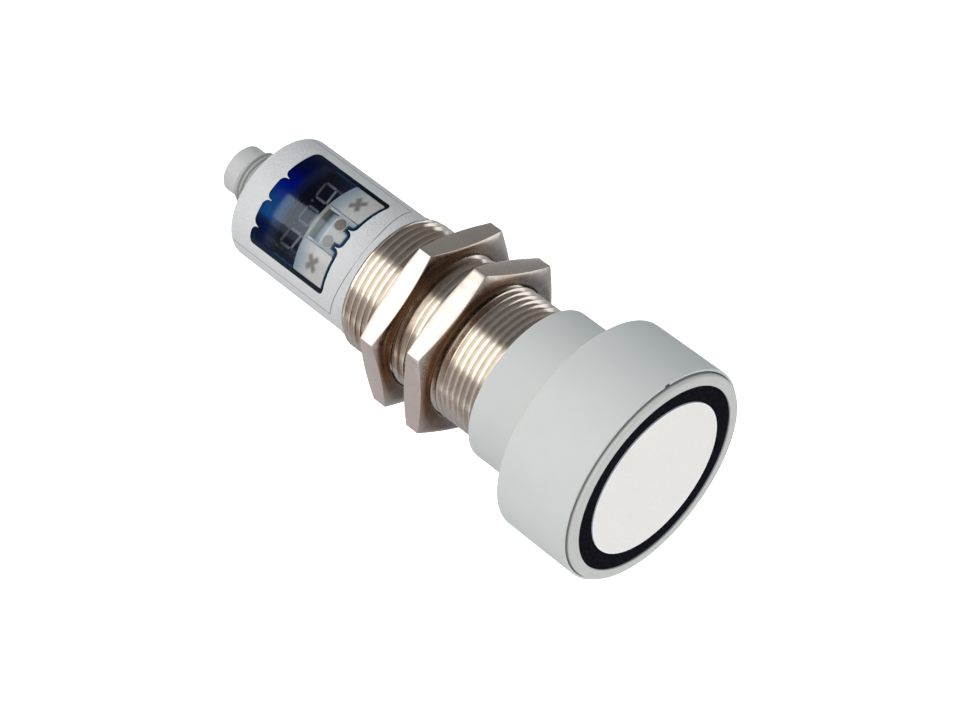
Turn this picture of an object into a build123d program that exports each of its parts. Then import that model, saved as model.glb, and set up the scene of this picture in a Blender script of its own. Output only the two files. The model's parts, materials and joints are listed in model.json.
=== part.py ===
"""Ultrasonic distance sensor in an M30 barrel, with a display cap and a round plug connector.

The barrel lies along X. The sensing face looks along +X, the display faces +Z, and the origin
is on the barrel's axis, half-way between the two mounting nuts. Stations along the barrel are
distances behind the sensing face, in millimetres, and station_x turns one into an X value.
"""
from math import ceil, cos, radians, sin, sqrt, tan
import os

from build123d import *

# Barrel and nuts
THREAD_DIAMETER = 29.86
SLEEVE_WALL = 1.93
SLEEVE_LENGTH = 52.15
SLEEVE_REAR_CHAMFER = 1.05
THREAD_PITCH = 1.5
THREAD_DEPTH = 0.81
NUT_WALL = 3.07
NUT_THICKNESS = 5.0
NUT_WASHER_FACE_STEP = 0.7
NUT_CHAMFER_DEGREES = 15.0
NUT_BORE_CLEARANCE = 0.05
NUT_COUNTERSINK = 0.5
NUT_BEHIND_COLLAR = 14.08
NUT_SPACING = 11.19
FRONT_NUT_TURN = 0.5
REAR_NUT_TURN = -9.9

# Head and transducer
HEAD_DIAMETER = 47.56
HEAD_DRAFT = 0.17
HEAD_LENGTH = 18.0
HEAD_REAR_ROUND = 0.7
HEAD_WALL = 1.85
HEAD_BACK_THICKNESS = 5.15
HEAD_FRONT_CHAMFER = 0.3
HEAD_OPENING_STEP = 0.2
COLLAR_WALL = 2.14
COLLAR_LENGTH = 13.95
COLLAR_REAR_ROUND = 0.4
SEAL_SHOULDER_THICKNESS = 3.0
RING_STEP = 0.76
RING_WIDTH = 2.27
RING_FLANGE = 1.15
RING_EDGE_ROUND = 0.5
RING_SKIRT_LENGTH = 6.85
FOAM_WIDTH = 3.72
FOAM_RECESS = 0.2
MATCHING_LAYER_THICKNESS = 3.2
PRY_NOTCH_ANGLE = 37.0
PRY_NOTCH_WIDTH = 1.3
PRY_NOTCH_DEPTH = 0.35
PRY_NOTCH_REACH = 1.0
RETAINING_PLATE_THICKNESS = 2.0
CUP_WALL = 1.0
PIEZO_EDGE_GAP = 5.03
PIEZO_THICKNESS = 2.6
PLATE_HOLE_DIAMETER = 12.0
LEAD_DIAMETER = 0.8
LEAD_SPACING = 6.0

# Seals
HEAD_SEAL_CORD = 1.6
REAR_SEAL_CORD = 1.1
REAR_SEAL_PLAY = 0.165
CONNECTOR_SEAL_THICKNESS = 0.8

# Rear housing and its cover
NECK_STEP = 0.21
NECK_LENGTH = 1.4
CAP_STEP = 1.03
CAP_TAPER = 0.12
CAP_LENGTH = 31.31
CAP_REAR_ROUND = 1.25
CAP_WALL = 1.7
CAP_REAR_WALL = 2.96
SPIGOT_LENGTH = 8.75
SPIGOT_WALL = 2.0
REAR_SEAL_SETBACK = 3.75
PARTING_HEIGHT = 5.4
COVER_SIDE_CLEARANCE = 0.09
COVER_BOW = 2.15

# Window and keys
WINDOW_SETBACK = 4.45
WINDOW_REAR_SETBACK = 6.06
WINDOW_HALF_ANGLE = 53.2
WINDOW_CORNER = 1.0
WINDOW_THICKNESS = 1.2
WINDOW_SINK = 0.04
WINDOW_LIP = 0.9
WINDOW_LIP_THICKNESS = 0.8
WINDOW_LIP_DROP = 1.4
WINDOW_SIDE_RIM = 0.9
WINDOW_REAR_RIM = 2.0
TOOTH_DEPTH = 1.45
TOOTH_ROUND = 1.35
TOOTH_TIP_HALF_WIDTH = 0.08
REAR_TOOTH_ANGLES = (-35.3, -10.1, 13.3)
FRONT_TOOTH_ANGLES = (-9.1, 8.5)
KEY_SETBACK = 0.7
KEY_LENGTH = 7.8
KEY_INNER_Y = 4.04
KEY_GAP = 0.15
KEY_CORNER = 0.35
KEY_TOP_THICKNESS = 1.3
KEY_WALL = 0.9
KEY_SKIRT_GAP = 0.7
KEY_TRAVEL = 0.35
KEY_STEM_DIAMETER = 2.0
KEY_LUG = 0.5
KEY_LUG_WIDTH = 1.6
KEY_LUG_HEIGHT = 1.2
KEY_LUG_ROOT = 0.3
KEY_FRONT_LUG_GAP = 0.5
KEY_INNER_LUG_GAP = 0.33

# Indicators and display
PLATE_SETBACK = 0.85
PLATE_STEP_LENGTH = 4.35
PLATE_HALF_WIDTH = 3.3
PLATE_SHELF_HEIGHT = 9.9
UNDER_WINDOW_GAP = 0.1
DIODE_SIZE = 1.6
DIODE_HEIGHT = 0.8
DIODE_POCKET_DIAMETER = 3.0
DIODE_POCKET_HEIGHT = 1.0
LENS_SETBACK = 2.85
LENS_SPACING = 4.0
LENS_DIAMETER = 2.4
PLATE_LENGTH = 7.2
BARRIER_THICKNESS = 0.8
DISPLAY_FRONT_GAP = 0.15
DISPLAY_REAR_GAP = 0.2
DISPLAY_SIDE_GAP = 0.1
DISPLAY_THICKNESS = 3.0
DIGIT_FRONT_MARGIN = 0.9
DIGIT_REAR_MARGIN = 2.0
DIGIT_PITCH = 5.67
DIGIT_BAR_WIDTH = 0.55
DIGIT_WIDTH = 3.47
SEGMENT_GAP = 0.1
SEGMENT_INLAY = 0.3
DECIMAL_POINT_DIAMETER = 0.5
DECIMAL_POINT_OFFSET = 1.04

# Boards and what they carry
MAIN_BOARD_FRONT_GAP = 5.4
MAIN_BOARD_REAR_GAP = 3.4
MAIN_BOARD_SIDE_GAP = 0.8
BOARD_THICKNESS = 1.6
DISPLAY_BOARD_SETBACK = 3.35
DISPLAY_BOARD_SIDE_GAP = 1.2
DISPLAY_BOARD_THICKNESS = 1.2
DISPLAY_BOARD_TOP = 3.0
HOLDER_LENGTH = 4.0
FRONT_HOLDER_SETBACK = 4.0
REAR_HOLDER_GAP = 2.0
HOLDER_GRIP = 0.7
SWITCH_SIZE = 4.5
SWITCH_HEIGHT = 2.4
PLUNGER_HEIGHT = 0.6
PLUNGER_LENGTH = 1.8
PLUNGER_DIAMETER = 2.2
PLUNGER_CLEARANCE = 0.07
PLUNGER_FLOOR_GAP = 0.1
HEADER_LENGTH = 6.0
HEADER_REAR_GAP = 3.6
HEADER_HALF_WIDTH = 6.0
TRANSFORMER_SETBACK = 10.0
TRANSFORMER_LENGTH = 9.0
TRANSFORMER_HALF_WIDTH = 5.0
TRANSFORMER_HEIGHT = 7.5
CAPACITOR_SETBACK = 20.5
CAPACITOR_LENGTH = 10.0
CAPACITOR_DIAMETER = 7.0
CAPACITOR_SIDE = 4.5
CHIP_SETBACK = 21.0
CHIP_SIZE = 7.0
CHIP_HEIGHT = 1.2
CHIP_SIDE = -5.0

# Connector
PLUG_THREAD_DIAMETER = 12.1
PLUG_SEAT_STEP = 0.35
PLUG_THREAD_LENGTH = 7.3
PLUG_BARREL_STEP = 0.82
PLUG_BARREL_LENGTH = 3.79
PLUG_END_CHAMFER = 0.5
PLUG_WALL = 0.93
PLUG_FLANGE_STEP = 1.6
PLUG_FLANGE_THICKNESS = 1.7
PLUG_INSERT_SETBACK = 4.26
PLUG_INSERT_LENGTH = 5.5
PIN_DIAMETER = 1.0
PIN_EDGE_GAP = 1.8
PIN_TIP_SETBACK = 1.35
PLUG_KEY_WIDTH = 1.4
PLUG_KEY_HEIGHT = 0.7

# Largest difference between two places that count as one
SAME_PLACE = 0.01

# Values that follow from the sizes above
HEAD_REAR = RING_FLANGE + HEAD_LENGTH
HEAD_FLOOR = HEAD_REAR - HEAD_BACK_THICKNESS
CUP_REAR = HEAD_FLOOR - RETAINING_PLATE_THICKNESS
SEAL_SHOULDER = HEAD_FLOOR + SEAL_SHOULDER_THICKNESS
COLLAR_REAR = HEAD_REAR + COLLAR_LENGTH
SLEEVE_FRONT = SEAL_SHOULDER + HEAD_SEAL_CORD
SLEEVE_REAR = SLEEVE_FRONT + SLEEVE_LENGTH
FRONT_NUT_STATION = COLLAR_REAR + NUT_BEHIND_COLLAR
REAR_NUT_STATION = FRONT_NUT_STATION + NUT_SPACING
SPIGOT_FRONT = SLEEVE_REAR - SPIGOT_LENGTH
REAR_SEAL_STATION = SLEEVE_REAR - REAR_SEAL_SETBACK
NECK_END = SLEEVE_REAR + NECK_LENGTH
CAP_REAR = NECK_END + CAP_LENGTH
WINDOW_FRONT = NECK_END + WINDOW_SETBACK
WINDOW_REAR = CAP_REAR - WINDOW_REAR_SETBACK
KEY_FRONT = WINDOW_FRONT + KEY_SETBACK
KEY_REAR = KEY_FRONT + KEY_LENGTH
PLATE_FRONT = KEY_FRONT + PLATE_SETBACK
PLATE_STEP = PLATE_FRONT + PLATE_STEP_LENGTH
LENS_STATION = PLATE_FRONT + LENS_SETBACK
BARRIER_FRONT = PLATE_FRONT + PLATE_LENGTH
DISPLAY_FRONT = BARRIER_FRONT + BARRIER_THICKNESS + DISPLAY_FRONT_GAP
DISPLAY_REAR = WINDOW_REAR - WINDOW_REAR_RIM - DISPLAY_REAR_GAP
DIGIT_BAR_SPACING = (DISPLAY_REAR - DISPLAY_FRONT - DIGIT_FRONT_MARGIN - DIGIT_REAR_MARGIN) / 2
DIGIT_STATION = DISPLAY_FRONT + DIGIT_FRONT_MARGIN + DIGIT_BAR_SPACING
PLUG_THREAD_END = CAP_REAR + PLUG_THREAD_LENGTH
PLUG_END = PLUG_THREAD_END + PLUG_BARREL_LENGTH
PLUG_INSERT_FACE = PLUG_THREAD_END - PLUG_INSERT_SETBACK
PLUG_INSERT_REAR = PLUG_INSERT_FACE - PLUG_INSERT_LENGTH
PIN_TIP = PLUG_END - PIN_TIP_SETBACK
MAIN_BOARD_FRONT = SLEEVE_FRONT + MAIN_BOARD_FRONT_GAP
MAIN_BOARD_REAR = PLUG_INSERT_REAR - MAIN_BOARD_REAR_GAP
DISPLAY_BOARD_FRONT = NECK_END + DISPLAY_BOARD_SETBACK
HEADER_REAR = MAIN_BOARD_REAR - HEADER_REAR_GAP
HEADER_FRONT = HEADER_REAR - HEADER_LENGTH
FRONT_HOLDER_FRONT = MAIN_BOARD_FRONT + FRONT_HOLDER_SETBACK
REAR_HOLDER_FRONT = SPIGOT_FRONT - REAR_HOLDER_GAP - HOLDER_LENGTH
TRANSFORMER_FRONT = MAIN_BOARD_FRONT + TRANSFORMER_SETBACK
CAPACITOR_FRONT = MAIN_BOARD_FRONT + CAPACITOR_SETBACK
CHIP_FRONT = MAIN_BOARD_FRONT + CHIP_SETBACK
ORIGIN_STATION = (FRONT_NUT_STATION + REAR_NUT_STATION) / 2
CLEAR_OF_ALL = 2 * HEAD_DIAMETER
SLEEVE_BORE_DIAMETER = THREAD_DIAMETER - 2 * SLEEVE_WALL
NUT_ACROSS_FLATS = THREAD_DIAMETER + 2 * NUT_WALL
NUT_WASHER_FACE_DIAMETER = NUT_ACROSS_FLATS - 2 * NUT_WASHER_FACE_STEP
COLLAR_DIAMETER = THREAD_DIAMETER + 2 * COLLAR_WALL
POCKET_DIAMETER = HEAD_DIAMETER - 2 * HEAD_WALL
RING_DIAMETER = HEAD_DIAMETER - 2 * RING_STEP
FOAM_DIAMETER = RING_DIAMETER - 2 * RING_WIDTH
DISC_DIAMETER = FOAM_DIAMETER - 2 * FOAM_WIDTH
PIEZO_DIAMETER = DISC_DIAMETER - 2 * (CUP_WALL + PIEZO_EDGE_GAP)
LEAD_HEIGHT = -BOARD_THICKNESS / 2
CAP_FRONT_DIAMETER = THREAD_DIAMETER - 2 * CAP_STEP
CAP_REAR_DIAMETER = CAP_FRONT_DIAMETER - 2 * CAP_TAPER
CAP_MIDDLE_DIAMETER = (CAP_FRONT_DIAMETER + CAP_REAR_DIAMETER) / 2
CAP_BORE_DIAMETER = CAP_FRONT_DIAMETER - 2 * CAP_WALL
CAP_REAR_WALL_FRONT = CAP_REAR - CAP_REAR_WALL
NECK_DIAMETER = CAP_FRONT_DIAMETER + 2 * NECK_STEP
SPIGOT_BORE_DIAMETER = SLEEVE_BORE_DIAMETER - 2 * SPIGOT_WALL
COVER_HALF_WIDTH = sqrt((CAP_FRONT_DIAMETER / 2) ** 2 - PARTING_HEIGHT**2) + COVER_SIDE_CLEARANCE
COVER_BOW_RADIUS = (COVER_HALF_WIDTH**2 + COVER_BOW**2) / (2 * COVER_BOW)
WINDOW_RADIUS = CAP_MIDDLE_DIAMETER / 2 - WINDOW_SINK
WINDOW_INNER_RADIUS = WINDOW_RADIUS - WINDOW_THICKNESS
WINDOW_LIP_RADIUS = CAP_BORE_DIAMETER / 2 - WINDOW_LIP_THICKNESS
WINDOW_HALF_WIDTH = WINDOW_RADIUS * sin(radians(WINDOW_HALF_ANGLE))
KEY_OUTER_Y = WINDOW_HALF_WIDTH - WINDOW_SIDE_RIM
KEY_LINE_Y = (KEY_INNER_Y + KEY_OUTER_Y) / 2
KEY_LINE_STATION = (KEY_FRONT + KEY_REAR) / 2
PLUNGER_TOP = DISPLAY_BOARD_TOP + SWITCH_HEIGHT + PLUNGER_HEIGHT
KEY_BOTTOM = PLUNGER_TOP + KEY_SKIRT_GAP
DISPLAY_HALF_WIDTH = KEY_OUTER_Y + KEY_GAP - DISPLAY_SIDE_GAP
DISPLAY_FACE_HEIGHT = DISPLAY_BOARD_TOP + DISPLAY_THICKNESS
DISPLAY_BOARD_HALF_WIDTH = CAP_BORE_DIAMETER / 2 - DISPLAY_BOARD_SIDE_GAP
MAIN_BOARD_HALF_WIDTH = SPIGOT_BORE_DIAMETER / 2 - MAIN_BOARD_SIDE_GAP
HOLDER_BORE_DIAMETER = 2 * (MAIN_BOARD_HALF_WIDTH - HOLDER_GRIP)
PLUG_SEAT_DIAMETER = PLUG_THREAD_DIAMETER + 2 * PLUG_SEAT_STEP
PLUG_FLANGE_DIAMETER = PLUG_SEAT_DIAMETER + 2 * PLUG_FLANGE_STEP
PLUG_BARREL_DIAMETER = PLUG_THREAD_DIAMETER - 2 * PLUG_BARREL_STEP
PLUG_BORE_DIAMETER = PLUG_BARREL_DIAMETER - 2 * PLUG_WALL
PLUG_FLANGE_BORE_DIAMETER = PLUG_BORE_DIAMETER - 2 * PIN_DIAMETER
PIN_CIRCLE_DIAMETER = PLUG_BORE_DIAMETER - 2 * PIN_EDGE_GAP


def station_x(station):
    """X of a station, given as a distance behind the sensing face."""
    return ORIGIN_STATION - station


def turned(*outline):
    """Solid of revolution about the barrel's axis from (station, radius) points."""
    points = [(station_x(station), radius) for station, radius in outline]
    with BuildPart() as body:
        with BuildSketch(Plane.XZ):
            with BuildLine():
                Polyline(*points, close=True)
            make_face()
        revolve(axis=Axis.X)
    return body.part


def disc(start, end, diameter):
    """Plain round body between two stations."""
    return turned((start, 0), (end, 0), (end, diameter / 2), (start, diameter / 2))


def tube(start, end, outer_diameter, inner_diameter):
    """Plain ring between two stations."""
    inner = inner_diameter / 2
    outer = outer_diameter / 2
    return turned((start, inner), (end, inner), (end, outer), (start, outer))


def rounded(shape, station, diameter, radius):
    """Round the circular edge of the given diameter at the given station."""
    x = station_x(station)
    chosen = [
        edge
        for edge in shape.edges().filter_by(GeomType.CIRCLE)
        if abs(edge.radius - diameter / 2) < SAME_PLACE and abs(edge.arc_center.X - x) < SAME_PLACE
    ]
    return fillet(chosen, radius)


def block(front, rear, half_width, bottom, top, side_shift=0.0):
    """Box between two stations and two heights, centred on Y = side_shift."""
    length = rear - front
    middle = Location((station_x((front + rear) / 2), side_shift, (bottom + top) / 2))
    return middle * Box(length, 2 * half_width, top - bottom)


def post(station, side, bottom, top, diameter):
    """Upright round post."""
    height = top - bottom
    return Location((station_x(station), side, bottom + height / 2)) * Cylinder(diameter / 2, height)


def rod_along(start, end, side, height, diameter):
    """Round rod parallel to the barrel."""
    middle = Location((station_x((start + end) / 2), side, height), (0, 90, 0))
    return middle * Cylinder(diameter / 2, end - start)


def o_ring(station, middle_radius, cord):
    """O-ring round the barrel's axis."""
    return Location((station_x(station), 0, 0), (0, 90, 0)) * Torus(middle_radius, cord / 2)


def upright(sketch, bottom=0.0, top=CLEAR_OF_ALL):
    """Stand a plan outline up between two heights."""
    return extrude(Plane((0, 0, bottom)) * sketch, top - bottom)


def plan_rectangle(front, rear, half_width, corner, side_shift=0.0):
    """Rounded rectangle in plan."""
    place = Location((station_x((front + rear) / 2), side_shift))
    return place * RectangleRounded(rear - front, 2 * half_width, corner)


def side_of_angle(angle):
    """Y at which a line of the cap at this angle from the top meets its surface."""
    return WINDOW_RADIUS * sin(radians(angle))


def thorn(station, side, direction):
    """Pointed tooth with hollow sides; direction is +1 for a tooth that points to the front."""
    blank_place = Location((station_x(station) + direction * TOOTH_DEPTH / 2, side))
    blank = blank_place * Rectangle(TOOTH_DEPTH, 2 * TOOTH_ROUND)
    hollow_x = station_x(station) + direction * TOOTH_ROUND
    for way in (-1, 1):
        beside = side + way * (TOOTH_ROUND + TOOTH_TIP_HALF_WIDTH)
        blank -= Location((hollow_x, beside)) * Circle(TOOTH_ROUND)
        beyond_x = hollow_x + direction * TOOTH_ROUND / 2
        blank -= Location((beyond_x, beside)) * Rectangle(TOOTH_ROUND, 2 * TOOTH_ROUND)
    return blank


def window_outline():
    """Plan of the window: a rounded rectangle notched by the cover's teeth."""
    outline = plan_rectangle(WINDOW_FRONT, WINDOW_REAR, WINDOW_HALF_WIDTH, WINDOW_CORNER)
    for angle in REAR_TOOTH_ANGLES:
        outline -= thorn(WINDOW_REAR, side_of_angle(angle), 1)
    for angle in FRONT_TOOTH_ANGLES:
        outline -= thorn(WINDOW_FRONT, side_of_angle(angle), -1)
    return outline


def matching_layer():
    """White front disc of the transducer."""
    return disc(0, MATCHING_LAYER_THICKNESS, DISC_DIAMETER)


def transducer_cup():
    """Thin cup behind the matching layer, open to the rear."""
    cup = disc(MATCHING_LAYER_THICKNESS, CUP_REAR, DISC_DIAMETER)
    inside = disc(MATCHING_LAYER_THICKNESS + CUP_WALL, CUP_REAR, DISC_DIAMETER - 2 * CUP_WALL)
    return cup - inside


def piezo_disc():
    """Ceramic disc that drives the matching layer through the cup's floor."""
    start = MATCHING_LAYER_THICKNESS + CUP_WALL
    return disc(start, start + PIEZO_THICKNESS, PIEZO_DIAMETER)


def lead_sides():
    """Y of the two transducer leads."""
    return (-LEAD_SPACING / 2, LEAD_SPACING / 2)


def backing_foam():
    """Damping fill of the cup, moulded round the piezo disc and the leads."""
    start = MATCHING_LAYER_THICKNESS + CUP_WALL
    foam = disc(start, CUP_REAR, DISC_DIAMETER - 2 * CUP_WALL) - piezo_disc()
    for side in lead_sides():
        foam -= rod_along(start + PIEZO_THICKNESS, CUP_REAR, side, LEAD_HEIGHT, LEAD_DIAMETER)
    return foam


def transducer_leads():
    """Two stiff leads from the piezo disc to the main board's front edge."""
    start = MATCHING_LAYER_THICKNESS + CUP_WALL + PIEZO_THICKNESS
    leads = [rod_along(start, MAIN_BOARD_FRONT, side, LEAD_HEIGHT, LEAD_DIAMETER) for side in lead_sides()]
    return Compound(children=leads)


def decoupling_ring():
    """Soft ring that keeps the transducer's ringing out of the head."""
    return tube(FOAM_RECESS, CUP_REAR, FOAM_DIAMETER, DISC_DIAMETER)


def retaining_plate():
    """Plate that closes the transducer's pocket, with a hole for the leads."""
    return tube(CUP_REAR, HEAD_FLOOR, POCKET_DIAMETER, PLATE_HOLE_DIAMETER)


def front_ring():
    """Bezel with a rounded front edge and a skirt that holds the foam."""
    pocket = POCKET_DIAMETER / 2
    inner = FOAM_DIAMETER / 2
    outer = RING_DIAMETER / 2
    skirt_end = RING_FLANGE + RING_SKIRT_LENGTH
    ring = turned(
        (0, inner),
        (skirt_end, inner),
        (skirt_end, pocket),
        (RING_FLANGE, pocket),
        (RING_FLANGE, outer),
        (0, outer),
    )
    return rounded(ring, 0, RING_DIAMETER, RING_EDGE_ROUND)


def head_housing():
    """Moulded head: a wide cup for the transducer and a collar that takes the sleeve."""
    outer = HEAD_DIAMETER / 2
    pocket = POCKET_DIAMETER / 2
    collar = COLLAR_DIAMETER / 2
    sleeve = THREAD_DIAMETER / 2
    opening = SLEEVE_BORE_DIAMETER / 2 - HEAD_OPENING_STEP
    head = turned(
        (RING_FLANGE, pocket),
        (RING_FLANGE, outer - HEAD_FRONT_CHAMFER),
        (RING_FLANGE + 2 * HEAD_FRONT_CHAMFER, outer),
        (HEAD_REAR, outer - HEAD_DRAFT),
        (HEAD_REAR, collar),
        (COLLAR_REAR, collar),
        (COLLAR_REAR, sleeve),
        (SEAL_SHOULDER, sleeve),
        (SEAL_SHOULDER, opening),
        (HEAD_FLOOR, opening),
        (HEAD_FLOOR, pocket),
    )
    head = rounded(head, HEAD_REAR, HEAD_DIAMETER - 2 * HEAD_DRAFT, HEAD_REAR_ROUND)
    head = rounded(head, COLLAR_REAR, COLLAR_DIAMETER, COLLAR_REAR_ROUND)
    notch = Box(2 * PRY_NOTCH_DEPTH, PRY_NOTCH_WIDTH, 2 * PRY_NOTCH_REACH)
    notch = Location((station_x(RING_FLANGE), 0, outer)) * notch
    return head - Rot(-PRY_NOTCH_ANGLE, 0, 0) * notch


def head_seal():
    """O-ring squeezed between the head's shoulder and the sleeve's front end."""
    middle = (THREAD_DIAMETER / 2 + SLEEVE_BORE_DIAMETER / 2) / 2
    return o_ring(SEAL_SHOULDER + HEAD_SEAL_CORD / 2, middle, HEAD_SEAL_CORD)


def thread_rings(front_limit, rear, radius):
    """Outline of a metric thread, drawn as plain rings from just before front_limit to rear."""
    crest = THREAD_PITCH / 8
    root = THREAD_PITCH / 4
    flank = (THREAD_PITCH - crest - root) / 2
    count = ceil((rear - front_limit) / THREAD_PITCH)
    outline = []
    for turn in range(count):
        start = rear - (count - turn) * THREAD_PITCH
        outline += [
            (start, radius),
            (start + flank, radius - THREAD_DEPTH),
            (start + flank + root, radius - THREAD_DEPTH),
            (start + THREAD_PITCH - crest, radius),
        ]
    return outline


def threaded_sleeve():
    """Barrel tube, plain where the collar holds it and threaded from there to its chamfered end."""
    outer = THREAD_DIAMETER / 2
    inner = SLEEVE_BORE_DIAMETER / 2
    thread_rear = SLEEVE_REAR - SLEEVE_REAR_CHAMFER
    return turned(
        (SLEEVE_FRONT, inner),
        (SLEEVE_FRONT, outer),
        *thread_rings(COLLAR_REAR, thread_rear, outer),
        (thread_rear, outer),
        (SLEEVE_REAR, outer - SLEEVE_REAR_CHAMFER),
        (SLEEVE_REAR, inner),
    )


def mounting_nut(station, turn):
    """Hexagon nut, chamfered on both faces and countersunk at the bore."""
    half = NUT_THICKNESS / 2
    washer_radius = NUT_WASHER_FACE_DIAMETER / 2
    bore = THREAD_DIAMETER / 2 + NUT_BORE_CLEARANCE
    beyond_corners = NUT_ACROSS_FLATS / 2 / cos(radians(30)) + NUT_WALL
    rise = (beyond_corners - washer_radius) * tan(radians(NUT_CHAMFER_DEGREES))
    flats = RegularPolygon(NUT_ACROSS_FLATS / 2, 6, major_radius=False)
    hexagon = Rot(-turn, 0, 0) * extrude(Plane.YZ * flats, half, both=True)
    envelope = turned(
        (station - half, bore + NUT_COUNTERSINK),
        (station - half, washer_radius),
        (station - half + rise, beyond_corners),
        (station + half - rise, beyond_corners),
        (station + half, washer_radius),
        (station + half, bore + NUT_COUNTERSINK),
        (station + half - NUT_COUNTERSINK, bore),
        (station - half + NUT_COUNTERSINK, bore),
    )
    return envelope & (Location((station_x(station), 0, 0)) * hexagon)


def cap_shell():
    """Spigot, neck, wall and rear wall of the cap, before it is split along its parting line."""
    spigot_bore = SPIGOT_BORE_DIAMETER / 2
    spigot = SLEEVE_BORE_DIAMETER / 2
    bore = CAP_BORE_DIAMETER / 2
    hole = PLUG_SEAT_DIAMETER / 2
    shell = turned(
        (SPIGOT_FRONT, spigot_bore),
        (SPIGOT_FRONT, spigot),
        (SLEEVE_REAR, spigot),
        (SLEEVE_REAR, NECK_DIAMETER / 2),
        (NECK_END, NECK_DIAMETER / 2),
        (NECK_END, CAP_FRONT_DIAMETER / 2),
        (CAP_REAR, CAP_REAR_DIAMETER / 2),
        (CAP_REAR, hole),
        (CAP_REAR_WALL_FRONT, hole),
        (CAP_REAR_WALL_FRONT, bore),
        (NECK_END, bore),
        (NECK_END, spigot_bore),
    )
    shell = rounded(shell, CAP_REAR, CAP_REAR_DIAMETER, CAP_REAR_ROUND)
    groove_diameter = SLEEVE_BORE_DIAMETER - 2 * REAR_SEAL_CORD
    groove_half = REAR_SEAL_CORD / 2 + REAR_SEAL_PLAY
    start = REAR_SEAL_STATION - groove_half
    return shell - tube(start, REAR_SEAL_STATION + groove_half, THREAD_DIAMETER, groove_diameter)


def cover_region():
    """Space above the parting line, with a front edge that bows forwards in plan."""
    middle = Location((station_x((NECK_END + PLUG_END) / 2), 0))
    outline = middle * Rectangle(PLUG_END - NECK_END, 2 * COVER_HALF_WIDTH)
    outline &= Location((station_x(NECK_END + COVER_BOW_RADIUS), 0)) * Circle(COVER_BOW_RADIUS)
    return upright(outline, PARTING_HEIGHT)


def rear_housing():
    """Lower shell of the cap, with its neck, spigot and seal groove in one piece."""
    return cap_shell() - cover_region()


def rear_seal():
    """O-ring in the spigot's groove, against the sleeve's bore."""
    return o_ring(REAR_SEAL_STATION, (SLEEVE_BORE_DIAMETER - REAR_SEAL_CORD) / 2, REAR_SEAL_CORD)


def display_cover():
    """Upper shell of the cap, with the toothed window opening."""
    return (cap_shell() & cover_region()) - upright(window_outline())


def key_outline(side, growth=0.0):
    """Plan of one key or, with growth, of the opening that it moves in."""
    half = (KEY_OUTER_Y - KEY_INNER_Y) / 2 + growth
    corner = KEY_CORNER + growth
    return plan_rectangle(KEY_FRONT - growth, KEY_REAR + growth, half, corner, side * KEY_LINE_Y)


def key_hollow_outline(side):
    """Plan of the hollow inside one key."""
    half = (KEY_OUTER_Y - KEY_INNER_Y) / 2 - KEY_WALL
    return plan_rectangle(KEY_FRONT + KEY_WALL, KEY_REAR - KEY_WALL, half, KEY_CORNER, side * KEY_LINE_Y)


def display_window():
    """Curved window, flush with the cover, with a deep rim and a lip under the cover's edge."""
    bore = CAP_BORE_DIAMETER
    front = WINDOW_FRONT - WINDOW_LIP
    rear = WINDOW_REAR + WINDOW_LIP
    upper = tube(front, rear, 2 * WINDOW_RADIUS, bore) & upright(window_outline(), PARTING_HEIGHT)
    seat = tube(front, rear, bore, 2 * WINDOW_LIP_RADIUS)
    seat_plan = plan_rectangle(front, rear, WINDOW_HALF_WIDTH, WINDOW_CORNER)
    seat &= upright(seat_plan, PARTING_HEIGHT - WINDOW_LIP_DROP)
    window = upper + seat
    clear_half = KEY_OUTER_Y + KEY_GAP
    clear_plan = plan_rectangle(KEY_FRONT - KEY_GAP, WINDOW_REAR - WINDOW_REAR_RIM, clear_half, KEY_CORNER)
    window -= disc(front, rear, 2 * WINDOW_INNER_RADIUS) & upright(clear_plan)
    for side in (-1, 1):
        window -= upright(key_outline(side, KEY_GAP))
    return window


def height_under(radius, side):
    """Height above the axis at which a round surface of this radius passes over a given Y."""
    return sqrt(radius**2 - side**2)


def button(side):
    """Key cap with a curved top, a skirt, a stem and two lugs that hold it under the window."""
    cap = disc(KEY_FRONT, KEY_REAR, 2 * WINDOW_RADIUS) & upright(key_outline(side), KEY_BOTTOM)
    hollow = disc(KEY_FRONT, KEY_REAR, 2 * (WINDOW_RADIUS - KEY_TOP_THICKNESS))
    cap -= hollow & upright(key_hollow_outline(side))
    stem = post(KEY_LINE_STATION, side * KEY_LINE_Y, PLUNGER_TOP, WINDOW_INNER_RADIUS, KEY_STEM_DIAMETER)
    cap += stem & disc(KEY_FRONT, KEY_REAR, 2 * WINDOW_INNER_RADIUS)
    half = (KEY_LUG + KEY_LUG_ROOT) / 2
    front_top = height_under(WINDOW_LIP_RADIUS, KEY_LINE_Y) - KEY_FRONT_LUG_GAP
    front_side = side * (KEY_LINE_Y - KEY_LUG_WIDTH / 2)
    cap += block(
        KEY_FRONT - KEY_LUG,
        KEY_FRONT + KEY_LUG_ROOT,
        KEY_LUG_WIDTH / 2,
        front_top - KEY_LUG_HEIGHT,
        front_top,
        front_side,
    )
    inner_top = height_under(WINDOW_INNER_RADIUS, KEY_INNER_Y + KEY_LUG_ROOT) - KEY_INNER_LUG_GAP
    inner_front = KEY_LINE_STATION - KEY_LUG_WIDTH / 2
    inner_side = side * (KEY_INNER_Y + KEY_LUG_ROOT - half)
    cap += block(
        inner_front,
        inner_front + KEY_LUG_WIDTH,
        half,
        inner_top - KEY_LUG_HEIGHT,
        inner_top,
        inner_side,
    )
    return cap


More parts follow.
